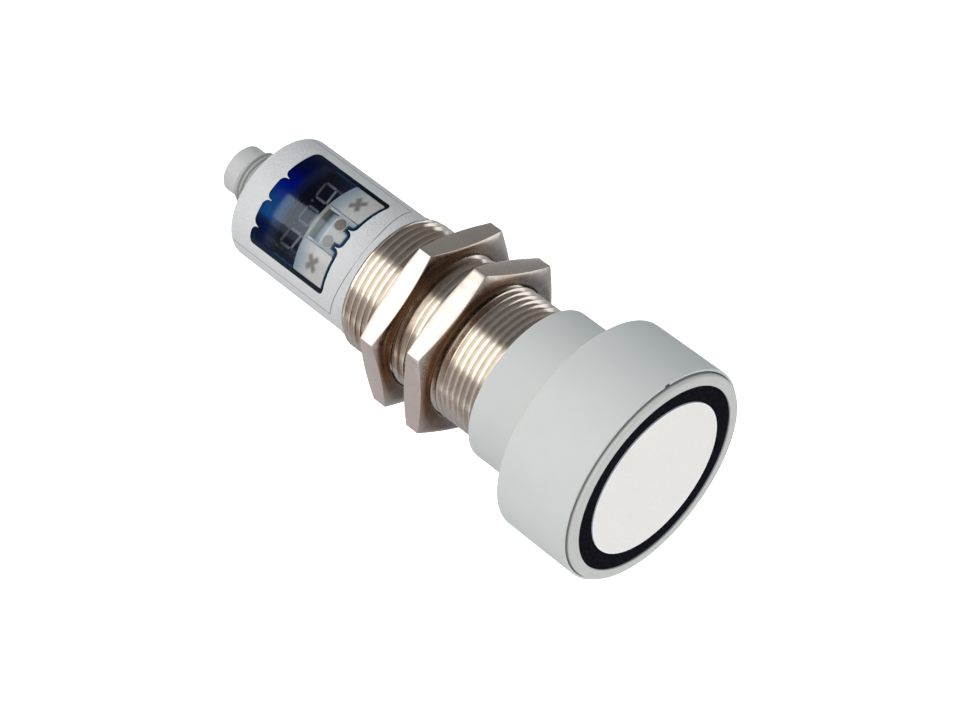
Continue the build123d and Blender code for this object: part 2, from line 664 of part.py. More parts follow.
def key_switch(side):
    """Switch body with a blind hole for its plunger."""
    front = KEY_LINE_STATION - SWITCH_SIZE / 2
    top = DISPLAY_BOARD_TOP + SWITCH_HEIGHT
    body = block(front, front + SWITCH_SIZE, SWITCH_SIZE / 2, DISPLAY_BOARD_TOP, top, side * KEY_LINE_Y)
    floor = PLUNGER_TOP - PLUNGER_LENGTH - KEY_TRAVEL - PLUNGER_FLOOR_GAP
    hole_diameter = PLUNGER_DIAMETER + 2 * PLUNGER_CLEARANCE
    return body - post(KEY_LINE_STATION, side * KEY_LINE_Y, floor, top, hole_diameter)


def switch_plunger(side):
    """Plunger that the key's stem rests on."""
    bottom = PLUNGER_TOP - PLUNGER_LENGTH
    return post(KEY_LINE_STATION, side * KEY_LINE_Y, bottom, PLUNGER_TOP, PLUNGER_DIAMETER)


def under_window(front, rear):
    """Round body that ends just below the window's inner face."""
    return disc(front, rear, 2 * (WINDOW_INNER_RADIUS - UNDER_WINDOW_GAP))


def lens_sides():
    """Y of the two indicator lenses."""
    return (LENS_SPACING / 2, -LENS_SPACING / 2)


def indicator_plate():
    """White block between the keys, with a low shelf to the rear and a bore for each lens."""
    plate = block(PLATE_FRONT, BARRIER_FRONT, PLATE_HALF_WIDTH, DISPLAY_BOARD_TOP, CLEAR_OF_ALL)
    plate &= under_window(PLATE_FRONT, BARRIER_FRONT)
    plate -= block(PLATE_STEP, BARRIER_FRONT, CLEAR_OF_ALL, PLATE_SHELF_HEIGHT, CLEAR_OF_ALL)
    pocket_top = DISPLAY_BOARD_TOP + DIODE_POCKET_HEIGHT
    for side in lens_sides():
        plate -= post(LENS_STATION, side, pocket_top, CLEAR_OF_ALL, LENS_DIAMETER)
        plate -= post(LENS_STATION, side, DISPLAY_BOARD_TOP, pocket_top, DIODE_POCKET_DIAMETER)
    return plate


def indicator_lens(side):
    """Light guide from above the diode to the plate's surface."""
    lens = post(LENS_STATION, side, DISPLAY_BOARD_TOP + DIODE_POCKET_HEIGHT, CLEAR_OF_ALL, LENS_DIAMETER)
    return lens & under_window(PLATE_FRONT, PLATE_STEP)


def indicator_diode(side):
    """Light emitting diode on the display board."""
    half = DIODE_SIZE / 2
    top = DISPLAY_BOARD_TOP + DIODE_HEIGHT
    return block(LENS_STATION - half, LENS_STATION + half, half, DISPLAY_BOARD_TOP, top, side)


def light_barrier():
    """Thin wall that keeps the indicators' light out of the display."""
    rear = BARRIER_FRONT + BARRIER_THICKNESS
    wall = block(BARRIER_FRONT, rear, DISPLAY_HALF_WIDTH, DISPLAY_BOARD_TOP, CLEAR_OF_ALL)
    return wall & under_window(BARRIER_FRONT, rear)


def segment(station, side, length, turn):
    """One bar of a digit in plan, pointed at both ends."""
    tip = length / 2
    half = DIGIT_BAR_WIDTH / 2
    shoulder = tip - half
    upper = [(tip, 0), (shoulder, half), (-shoulder, half)]
    lower = [(-tip, 0), (-shoulder, -half), (shoulder, -half)]
    return Location((station_x(station), side), turn) * Polygon(*upper, *lower, align=None)


def digit_plan(middle):
    """Seven bars and a decimal point, with the digit's top towards the sensing face."""
    bars = []
    across = DIGIT_WIDTH - 2 * SEGMENT_GAP
    along = DIGIT_BAR_SPACING - 2 * SEGMENT_GAP
    for row in (-1, 0, 1):
        bars.append(segment(DIGIT_STATION + row * DIGIT_BAR_SPACING, middle, across, 90))
    for row in (-0.5, 0.5):
        for side in (-1, 1):
            place = middle + side * DIGIT_WIDTH / 2
            bars.append(segment(DIGIT_STATION + row * DIGIT_BAR_SPACING, place, along, 0))
    point_side = middle - DIGIT_WIDTH / 2 - DECIMAL_POINT_OFFSET
    point_x = station_x(DIGIT_STATION + DIGIT_BAR_SPACING)
    bars.append(Location((point_x, point_side)) * Circle(DECIMAL_POINT_DIAMETER / 2))
    return bars


def digit_segments():
    """Bars of all three digits, let into the display's face."""
    solids = []
    for place in (-1, 0, 1):
        for bar in digit_plan(place * DIGIT_PITCH):
            solids.append(upright(bar, DISPLAY_FACE_HEIGHT - SEGMENT_INLAY, DISPLAY_FACE_HEIGHT))
    return solids


def display_module(segments):
    """Dark display body with pockets for the digit segments."""
    body = block(DISPLAY_FRONT, DISPLAY_REAR, DISPLAY_HALF_WIDTH, DISPLAY_BOARD_TOP, DISPLAY_FACE_HEIGHT)
    for solid in segments:
        body -= solid
    return body


def display_board():
    """Upper board, under the keys and the display."""
    bottom = DISPLAY_BOARD_TOP - DISPLAY_BOARD_THICKNESS
    return block(DISPLAY_BOARD_FRONT, MAIN_BOARD_REAR, DISPLAY_BOARD_HALF_WIDTH, bottom, DISPLAY_BOARD_TOP)


def board_header():
    """Pin header that joins and spaces the two boards."""
    top = DISPLAY_BOARD_TOP - DISPLAY_BOARD_THICKNESS
    return block(HEADER_FRONT, HEADER_REAR, HEADER_HALF_WIDTH, 0, top)


def main_board():
    """Long board that runs from the head to the connector."""
    return block(MAIN_BOARD_FRONT, MAIN_BOARD_REAR, MAIN_BOARD_HALF_WIDTH, -BOARD_THICKNESS, 0)


def board_holder(front):
    """Ring in the sleeve with a slot on each side for the main board."""
    ring = tube(front, front + HOLDER_LENGTH, SLEEVE_BORE_DIAMETER, HOLDER_BORE_DIAMETER)
    return ring - main_board()


def pulse_transformer():
    """Transformer that drives the piezo disc."""
    rear = TRANSFORMER_FRONT + TRANSFORMER_LENGTH
    return block(TRANSFORMER_FRONT, rear, TRANSFORMER_HALF_WIDTH, 0, TRANSFORMER_HEIGHT)


def storage_capacitor():
    """Round capacitor lying on the main board."""
    rear = CAPACITOR_FRONT + CAPACITOR_LENGTH
    return rod_along(CAPACITOR_FRONT, rear, CAPACITOR_SIDE, CAPACITOR_DIAMETER / 2, CAPACITOR_DIAMETER)


def microcontroller():
    """Flat square chip on the main board."""
    return block(CHIP_FRONT, CHIP_FRONT + CHIP_SIZE, CHIP_SIZE / 2, 0, CHIP_HEIGHT, CHIP_SIDE)


def connector_shell():
    """Round plug shell with a flange inside the cap and a coding rib in its bore."""
    bore = PLUG_BORE_DIAMETER / 2
    seat = PLUG_SEAT_DIAMETER / 2
    thread = PLUG_THREAD_DIAMETER / 2
    barrel = PLUG_BARREL_DIAMETER / 2
    flange = PLUG_FLANGE_DIAMETER / 2
    flange_bore = PLUG_FLANGE_BORE_DIAMETER / 2
    flange_rear = CAP_REAR_WALL_FRONT - CONNECTOR_SEAL_THICKNESS
    shell = turned(
        (flange_rear - PLUG_FLANGE_THICKNESS, flange_bore),
        (flange_rear - PLUG_FLANGE_THICKNESS, flange),
        (flange_rear, flange),
        (flange_rear, seat),
        (CAP_REAR, seat),
        (CAP_REAR, thread),
        (PLUG_THREAD_END, thread),
        (PLUG_THREAD_END, barrel),
        (PLUG_END - PLUG_END_CHAMFER, barrel),
        (PLUG_END, barrel - PLUG_END_CHAMFER),
        (PLUG_END, bore),
        (PLUG_INSERT_REAR, bore),
        (PLUG_INSERT_REAR, flange_bore),
    )
    rib_bottom = bore - PLUG_KEY_HEIGHT
    rib_end = PLUG_END - 2 * PLUG_END_CHAMFER
    shell += block(PLUG_INSERT_FACE, rib_end, PLUG_KEY_WIDTH / 2, rib_bottom, (bore + barrel) / 2)
    return shell


def contact_pin(height, side):
    """Straight contact from the main board's edge into the plug."""
    return rod_along(MAIN_BOARD_REAR, PIN_TIP, side, height, PIN_DIAMETER)


def pin_places():
    """Height and Y of the five contacts: four on a circle and one in the middle."""
    reach = PIN_CIRCLE_DIAMETER / 2 / sqrt(2)
    return [(reach, reach), (reach, -reach), (-reach, -reach), (-reach, reach), (0, 0)]


def connector_insert(pins):
    """Contact carrier, moulded round the pins."""
    insert = disc(PLUG_INSERT_REAR, PLUG_INSERT_FACE, PLUG_BORE_DIAMETER)
    for pin in pins:
        insert -= pin
    return insert


def connector_seal():
    """Flat gasket between the plug's flange and the cap's rear wall."""
    front = CAP_REAR_WALL_FRONT - CONNECTOR_SEAL_THICKNESS
    return tube(front, CAP_REAR_WALL_FRONT, PLUG_FLANGE_DIAMETER, PLUG_SEAT_DIAMETER)


def numbered(name, solids):
    """Name repeated pieces name_1, name_2 and so on."""
    return {f"{name}_{index}": solid for index, solid in enumerate(solids, start=1)}


def build_nodes():
    """Every piece of the sensor under its node name."""
    segments = digit_segments()
    pins = [contact_pin(height, side) for height, side in pin_places()]
    sides = (1, -1)
    nodes = {
        "matching_layer": matching_layer(),
        "transducer_cup": transducer_cup(),
        "piezo_disc": piezo_disc(),
        "backing_foam": backing_foam(),
        "transducer_leads": transducer_leads(),
        "decoupling_ring": decoupling_ring(),
        "retaining_plate": retaining_plate(),
        "front_ring": front_ring(),
        "head_housing": head_housing(),
        "head_seal": head_seal(),
        "threaded_sleeve": threaded_sleeve(),
        "mounting_nut_front": mounting_nut(FRONT_NUT_STATION, FRONT_NUT_TURN),
        "mounting_nut_rear": mounting_nut(REAR_NUT_STATION, REAR_NUT_TURN),
        "rear_housing": rear_housing(),
        "rear_seal": rear_seal(),
        "display_cover": display_cover(),
        "display_window": display_window(),
        "indicator_plate": indicator_plate(),
        "light_barrier": light_barrier(),
        "display_module": display_module(segments),
        "digit_segments": Compound(children=segments),
        "display_board": display_board(),
        "board_header": board_header(),
        "main_board": main_board(),
        "pulse_transformer": pulse_transformer(),
        "storage_capacitor": storage_capacitor(),
        "microcontroller": microcontroller(),
        "connector_shell": connector_shell(),
        "connector_insert": connector_insert(pins),
        "connector_seal": connector_seal(),
    }
    nodes |= numbered("button", [button(side) for side in sides])
    nodes |= numbered("key_switch", [key_switch(side) for side in sides])
    nodes |= numbered("switch_plunger", [switch_plunger(side) for side in sides])
    nodes |= numbered("indicator_lens", [indicator_lens(side) for side in lens_sides()])
    nodes |= numbered("indicator_diode", [indicator_diode(side) for side in lens_sides()])
    holder_stations = (FRONT_HOLDER_FRONT, REAR_HOLDER_FRONT)
    nodes |= numbered("board_holder", [board_holder(front) for front in holder_stations])
    nodes |= numbered("contact_pin", pins)
    return nodes


def main():
    """Write one STEP file for each node."""
    os.makedirs("parts", exist_ok=True)
    for name, shape in build_nodes().items():
        export_step(shape, f"parts/{name}.step")


if __name__ == "__main__":
    main()
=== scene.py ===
"""Looks of the barrel ultrasonic sensor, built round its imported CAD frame.

Sizes of the sensor are in millimetres, and a station is a distance behind the sensing face.
Meshes, and the studio round the sensor, are in metres. The row frame has +X towards the sensing
face and +Z square to the display, with its origin half-way between the two mounting nuts.
"""

import json
import logging
import math
from dataclasses import dataclass
from enum import Enum
from functools import cached_property, partialmethod, reduce

import bmesh
import bpy
from mathutils import Matrix, Vector

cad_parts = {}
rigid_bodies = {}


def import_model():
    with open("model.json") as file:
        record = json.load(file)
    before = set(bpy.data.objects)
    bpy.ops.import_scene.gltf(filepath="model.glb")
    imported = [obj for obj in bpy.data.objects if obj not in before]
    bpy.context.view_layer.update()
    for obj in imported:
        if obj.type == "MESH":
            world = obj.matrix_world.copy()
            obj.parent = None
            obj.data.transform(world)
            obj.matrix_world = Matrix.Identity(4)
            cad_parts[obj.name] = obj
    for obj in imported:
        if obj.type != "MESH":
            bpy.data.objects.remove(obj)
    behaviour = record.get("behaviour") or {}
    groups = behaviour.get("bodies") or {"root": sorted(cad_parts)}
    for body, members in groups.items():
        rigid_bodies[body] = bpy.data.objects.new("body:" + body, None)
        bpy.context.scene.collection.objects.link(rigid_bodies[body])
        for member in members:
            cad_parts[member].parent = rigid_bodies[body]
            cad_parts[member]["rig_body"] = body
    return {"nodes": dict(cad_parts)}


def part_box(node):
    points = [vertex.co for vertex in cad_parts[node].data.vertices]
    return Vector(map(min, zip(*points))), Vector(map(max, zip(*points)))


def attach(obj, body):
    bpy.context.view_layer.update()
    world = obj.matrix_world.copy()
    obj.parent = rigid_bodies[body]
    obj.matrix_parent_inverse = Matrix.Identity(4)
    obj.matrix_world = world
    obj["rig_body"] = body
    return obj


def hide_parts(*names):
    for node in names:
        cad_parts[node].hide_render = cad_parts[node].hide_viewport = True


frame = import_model()
for leftover in [thing for thing in bpy.data.objects if thing.name in ("Cube", "Light", "Camera")]:
    bpy.data.objects.remove(leftover)
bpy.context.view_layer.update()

log = logging.getLogger("sensor")

Socket = bpy.types.NodeSocket
Material = bpy.types.Material
Mesh = bpy.types.Mesh
Triple = tuple[float, float, float]
Colour = Triple
Span = tuple[float, float]
Profile = list[Span]

MM = 0.001
SENSOR_BODY = "sensor"
FACE_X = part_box("matching_layer")[1].x / MM
HARD_EDGE = 28.0
WELD_GAP = 0.004
BLACK: Colour = (0.0, 0.0, 0.0)
WHITE: Colour = (1.0, 1.0, 1.0)


class Region(Enum):
    """Which rays see a stage surface brightened."""

    CAMERA = "Is Camera Ray"
    GLOSSY = "Is Glossy Ray"
    TRANSMISSION = "Is Transmission Ray"


def linear(*display: int) -> Colour:
    """Turn a display colour into a linear one.

    Args:
        *display: Red, green and blue from 0 to 255.

    Returns:
        The linear colour that shows as the display colour.
    """
    shares = [channel / 255 for channel in display]
    return tuple(
        share / 12.92 if share <= 0.04045 else ((share + 0.055) / 1.055) ** 2.4 for share in shares
    )


def dimmed(colour: Colour, share: float) -> Colour:
    """Give a colour times a share."""
    return tuple(channel * share for channel in colour)


def station_x(station: float) -> float:
    """Give the X, in metres, of a distance in millimetres behind the sensing face."""
    return (FACE_X - station) * MM


def turned(station: float, radius: float, turn: float) -> Triple:
    """Give the place, in metres, of a station, a radius and a turn from the top in radians."""
    return station_x(station), radius * MM * math.sin(turn), radius * MM * math.cos(turn)


class Graph:
    """A node tree that is put together step by step."""

    def __init__(self, tree: bpy.types.NodeTree) -> None:
        """Keep the tree."""
        self.tree = tree

    def join(self, source: object, target: Socket) -> None:
        """Link a socket to another, or set the other to a plain value.

        Args:
            source: Output socket, number or colour.
            target: Input socket that takes it.
        """
        if isinstance(source, Socket):
            self.tree.links.new(source, target)
        elif isinstance(source, tuple) and len(target.default_value) == 4:
            target.default_value = (*source, 1.0)
        else:
            target.default_value = source

    def node(
        self, kind: str, *values: object, family: str = "Shader", **named: object
    ) -> bpy.types.Node:
        """Add a node, set its properties and feed its inputs.

        Args:
            kind: Type of the node, without its family and the word Node.
            *values: Sockets or plain values of its first inputs.
            family: Shader, Geometry or nothing.
            **named: Properties in small letters, inputs with a capital and _ for each space.

        Returns:
            The new node.
        """
        made = self.tree.nodes.new(f"{family}Node{kind}")
        for name, value in named.items():
            if name.islower():
                setattr(made, name, value)
        for index, value in enumerate(values):
            self.join(value, made.inputs[index])
        for name, value in named.items():
            if not name.islower():
                self.join(value, made.inputs[name.replace("_", " ")])
        return made

    def out(self, kind: str, *values: object, **named: object) -> Socket:
        """Add a node as node() does and give its first output."""
        return self.node(kind, *values, **named).outputs[0]

    def math(self, operation: str, *values: object, clamp: bool = False) -> Socket:
        """Add a math node and give its result, held between 0 and 1 if clamp says so."""
        return self.out("Math", *values, operation=operation, use_clamp=clamp)

    plus = partialmethod(math, "ADD")
    minus = partialmethod(math, "SUBTRACT")
    times = partialmethod(math, "MULTIPLY")
    over = partialmethod(math, "DIVIDE")
    larger = partialmethod(math, "MAXIMUM")
    smaller = partialmethod(math, "MINIMUM")
    magnitude = partialmethod(math, "ABSOLUTE")

    def length(self, first: Socket, second: Socket) -> Socket:
        """Give the length of a vector with these two parts."""
        return self.math("SQRT", self.plus(self.times(first, first), self.times(second, second)))

    def blend(self, share: object, first: object, second: object) -> Socket:
        """Mix two colours.

        Args:
            share: Share of the second colour.
            first: First colour or socket.
            second: Second colour or socket.

        Returns:
            The mixed colour's socket.
        """
        made = self.node("Mix", share, data_type="RGBA")
        self.join(first, made.inputs[6])
        self.join(second, made.inputs[7])
        return made.outputs[2]

    def seen(self) -> Socket:
        """Mask of the rays that see the background, from the camera, gloss or glass."""
        path = self.node("LightPath").outputs
        return reduce(self.larger, (path[region.value] for region in Region))


class Recipe(Graph):
    """A node material that is put together step by step."""

    def __init__(self, name: str) -> None:
        """Start an empty node material.

        Args:
            name: Name of the material.
        """
        self.material = bpy.data.materials.new(name)
        self.material.use_nodes = True
        super().__init__(self.material.node_tree)
        self.tree.nodes.clear()
        self.place = self.node("TexCoord").outputs["Object"]

    def ramp(
        self, value: object, low: float, high: float, start: float = 0.0, end: float = 1.0
    ) -> Socket:
        """Map a value from one range to another with soft ends.

        Args:
            value: Socket or number to map.
            low: Value that gives start.
            high: Value that gives end.
            start: Result at low.
            end: Result at high.

        Returns:
            The result's socket.
        """
        return self.out("MapRange", value, low, high, start, end, interpolation_type="SMOOTHSTEP")

    def band(self, value: Socket, rise: Span, fall: Span) -> Socket:
        """Mask that rises from 0 to 1 over one span of a value and falls again over another."""
        return self.times(self.ramp(value, *rise), self.ramp(value, *fall, 1.0, 0.0))

    def axis(self, name: str) -> Socket:
        """Give the Object coordinate X, Y or Z in millimetres."""
        return self.times(self.node("SeparateXYZ", self.place).outputs[name], 1 / MM)

    def station(self) -> Socket:
        """Give the distance behind the sensing face in millimetres."""
        return self.minus(FACE_X, self.axis("X"))

    def radius(self) -> Socket:
        """Give the distance from the sensor's axis in millimetres."""
        return self.length(self.axis("Y"), self.axis("Z"))

    def noise(self, scale: float, detail: float = 2.0, where: Socket | None = None) -> Socket:
        """Add a noise pattern.

        Args:
            scale: Cells per metre.
            detail: Octaves of detail.
            where: Vector socket, or nothing for the Object coordinates.

        Returns:
            The pattern's value, from 0 to 1.
        """
        return self.out("TexNoise", Vector=where or self.place, Scale=scale, Detail=detail)

    def bump(self, height: Socket, depth: float, strength: float = 1.0) -> Socket:
        """Turn a height pattern into a surface normal.

        Args:
            height: Pattern from 0 to 1.
            depth: Height of the relief in millimetres.
            strength: Strength of the effect.

        Returns:
            The normal's socket.
        """
        return self.out("Bump", Strength=strength, Distance=depth * MM, Height=height)

    def principled(self, **inputs: object) -> Material:
        """Put the main surface shader with these inputs on the output and give the material."""
        return self.finish(self.out("BsdfPrincipled", **inputs))

    def finish(self, surface: Socket) -> Material:
        """Put a shader on the output and give the material."""
        self.node("OutputMaterial", surface)
        return self.material


@dataclass(frozen=True)
class MouldedPlastic:
    """Moulded housing plastic with a spark-eroded grain and faint cloudiness."""

    name: str
    colour: Colour
    roughness: float = 0.5
    grain: float = 9000.0
    grain_depth: float = 0.006
    cloud: float = 0.03
    cloud_scale: float = 160.0
    unevenness: float = 0.06

    def tint(self, recipe: Recipe) -> Socket:
        """Give the colour, faintly cloudy."""
        shade = dimmed(self.colour, 1 - 2 * self.cloud)
        return recipe.blend(recipe.noise(self.cloud_scale, 3.0), shade, self.colour)

    def make(self) -> Material:
        """Build the material.

        Returns:
            The material.
        """
        recipe = Recipe(self.name)
        grain = recipe.noise(self.grain, 3.0)
        least, most = self.roughness - self.unevenness, self.roughness + self.unevenness
        return recipe.principled(
            Base_Color=self.tint(recipe),
            Roughness=recipe.ramp(grain, 0.3, 0.7, least, most),
            IOR=1.5,
            Normal=recipe.bump(grain, self.grain_depth),
        )


@dataclass(frozen=True)
class GrooveShadedPlastic(MouldedPlastic):
    """Moulded plastic with painted shade in a groove round the axis."""

    groove_shade: float = 0.5
    front: float = 103.4
    rear: float = 110.5
    soft: float = 0.1
    floor: float = 5.55
    crest: float = 6.0
    shadow: float = 0.35

    def tint(self, recipe: Recipe) -> Socket:
        """Give the colour, darker in the groove as painted shade.

        Args:
            recipe: Material recipe to add the pattern to.

        Returns:
            The colour's socket.
        """
        rise, fall = (self.front, self.front + self.soft), (self.rear - self.soft, self.rear)
        groove = recipe.ramp(recipe.radius(), self.floor, self.crest, self.groove_shade, 0.0)
        # Painted shade: the colour falls towards the shadow colour inside the groove.
        painted_groove_shade = recipe.times(recipe.band(recipe.station(), rise, fall), groove)
        return recipe.blend(painted_groove_shade, super().tint(recipe), dimmed(self.colour, self.shadow))


@dataclass(frozen=True)
class SeamedPlastic(MouldedPlastic):
    """Cap plastic with the fine joint line between the cover and the lower shell."""

    shadow: float = 0.22
    joint_front: float = 72.15
    joint_bow_radius: float = 39.8
    joint_height: float = 5.4
    joint_half_width: float = 12.9
    joint_size: float = 0.13

    def _joint(self, recipe: Recipe) -> Socket:
        """Find the joint line on the cap.

        Args:
            recipe: Material recipe to add the pattern to.

        Returns:
            Mask that is 1 on the line.
        """
        side = recipe.axis("Y")
        ahead = recipe.minus(self.joint_front + self.joint_bow_radius, recipe.station())
        behind_bow = recipe.minus(self.joint_bow_radius, recipe.length(ahead, side))
        within = recipe.minus(self.joint_half_width, recipe.magnitude(side))
        above = recipe.minus(recipe.axis("Z"), self.joint_height)
        inside = recipe.smaller(recipe.smaller(behind_bow, recipe.larger(above, within)), above)
        off_line = recipe.magnitude(inside)
        return recipe.ramp(off_line, 0.4 * self.joint_size, self.joint_size, 1.0, 0.0)

    def tint(self, recipe: Recipe) -> Socket:
        """Give the colour, dark along the joint."""
        shade = dimmed(self.colour, self.shadow)
        return recipe.blend(self._joint(recipe), super().tint(recipe), shade)


@dataclass(frozen=True)
class NickelPlate:
    """Nickel plating over turned brass, with tool marks, faint stains and painted shade near the
    bore.
    """

    name: str
    colour: Colour
    stain: Colour
    roughness: float = 0.24
    marks: Triple = (400.0, 9000.0, 9000.0)
    marks_depth: float = 0.004
    # The dark brown colour below and its spans are painted shade and painted reflection of the
    # thread on the washer faces.
    washer_shade: Colour = (0.28, 0.135, 0.055)
    washer_shade_span: Span = (0.0, 0.0)
    washer_shade_facing: Span = (0.8, 0.9)
    washer_shade_slope: float = 0.4
    washer_shade_above: Span = (-8.0, 14.0)
    valley: Colour = (0.66, 0.605, 0.535)
    valley_span: Span = (0.0, 0.0)

    def _washer_shade(self, recipe: Recipe) -> Socket:
        """Mask of the painted shade and painted reflection of the thread on a washer face next to
        it.

        Args:
            recipe: Material recipe to add the pattern to.

        Returns:
            Mask that is 1 in the painted shade.
        """
        near = recipe.ramp(recipe.radius(), *self.washer_shade_span, 1.0, 0.0)
        normal = recipe.node("SeparateXYZ", recipe.node("NewGeometry").outputs["Normal"]).outputs
        facing = recipe.ramp(recipe.magnitude(normal["X"]), *self.washer_shade_facing)
        slope = recipe.minus(recipe.axis("Z"), recipe.times(recipe.axis("Y"), self.washer_shade_slope))
        return recipe.times(recipe.times(near, facing), recipe.ramp(slope, *self.washer_shade_above))

    def make(self) -> Material:
        """Build the material.

        Returns:
            The material.
        """
        recipe = Recipe(self.name)
        patches = recipe.ramp(recipe.noise(220.0, 4.0), 0.42, 0.72)
        colour = recipe.blend(patches, self.colour, self.stain)
        # Painted shade and painted reflection of the thread: dark brown on the washer faces round
        # the bore.
        if any(self.washer_shade_span):
            colour = recipe.blend(self._washer_shade(recipe), colour, self.washer_shade)
        # Painted light: the thread roots are given a paler colour, offsetting their shade between
        # the crests.
        if any(self.valley_span):
            low = recipe.ramp(recipe.radius(), *self.valley_span, 1.0, 0.0)
            colour = recipe.blend(low, colour, self.valley)
        lines = recipe.noise(1.0, 3.0, recipe.out("Mapping", Vector=recipe.place, Scale=self.marks))
        smudge = recipe.noise(500.0, 3.0)
        rough = recipe.ramp(smudge, 0.3, 0.75, self.roughness - 0.05, self.roughness + 0.08)
        normal = recipe.bump(lines, self.marks_depth)
        return recipe.principled(Base_Color=colour, Metallic=1.0, Roughness=rough, Normal=normal)


@dataclass(frozen=True)
class ClosedCellFoam:
    """Black foam with fine closed cells and a dusty bloom."""

    name: str
    colour: Colour
    bloom: Colour
    cells: float = 2600.0
    specks: float = 3400.0

    def make(self) -> Material:
        """Build the material.

        Returns:
            The material.
        """
        recipe = Recipe(self.name)
        cells = recipe.out("TexVoronoi", Vector=recipe.place, Scale=self.cells)
        dusty = recipe.ramp(recipe.noise(self.specks, 3.0), 0.4, 0.75)
        return recipe.principled(
            Base_Color=recipe.blend(dusty, self.colour, self.bloom),
            Roughness=0.9,
            Specular_IOR_Level=0.04,
            Normal=recipe.bump(cells, 0.05, 0.8),
        )


@dataclass(frozen=True)
class FilledResin:
    """Off-white resin filled with fine glass beads, with a painted highlight round the edge of the
    disc.
    """

    name: str
    colour: Colour
    bead: Colour
    # The white rim colour is a painted highlight on the disc's rounded edge.
    rim: Colour = WHITE
    rim_highlight_span: Span = (16.72, 16.87)

    def make(self) -> Material:
        """Build the material.

        Returns:
            The material.
        """
        recipe = Recipe(self.name)
        beads = recipe.noise(3800.0, 4.0)
        colour = recipe.blend(recipe.ramp(beads, 0.35, 0.8), self.colour, self.bead)
        # Painted highlight: the colour turns white near the edge of the disc.
        return recipe.principled(
            Base_Color=recipe.blend(recipe.ramp(recipe.radius(), *self.rim_highlight_span), colour, self.rim),
            Roughness=0.55,
            IOR=1.5,
            Normal=recipe.bump(beads, 0.01, 0.7),
        )


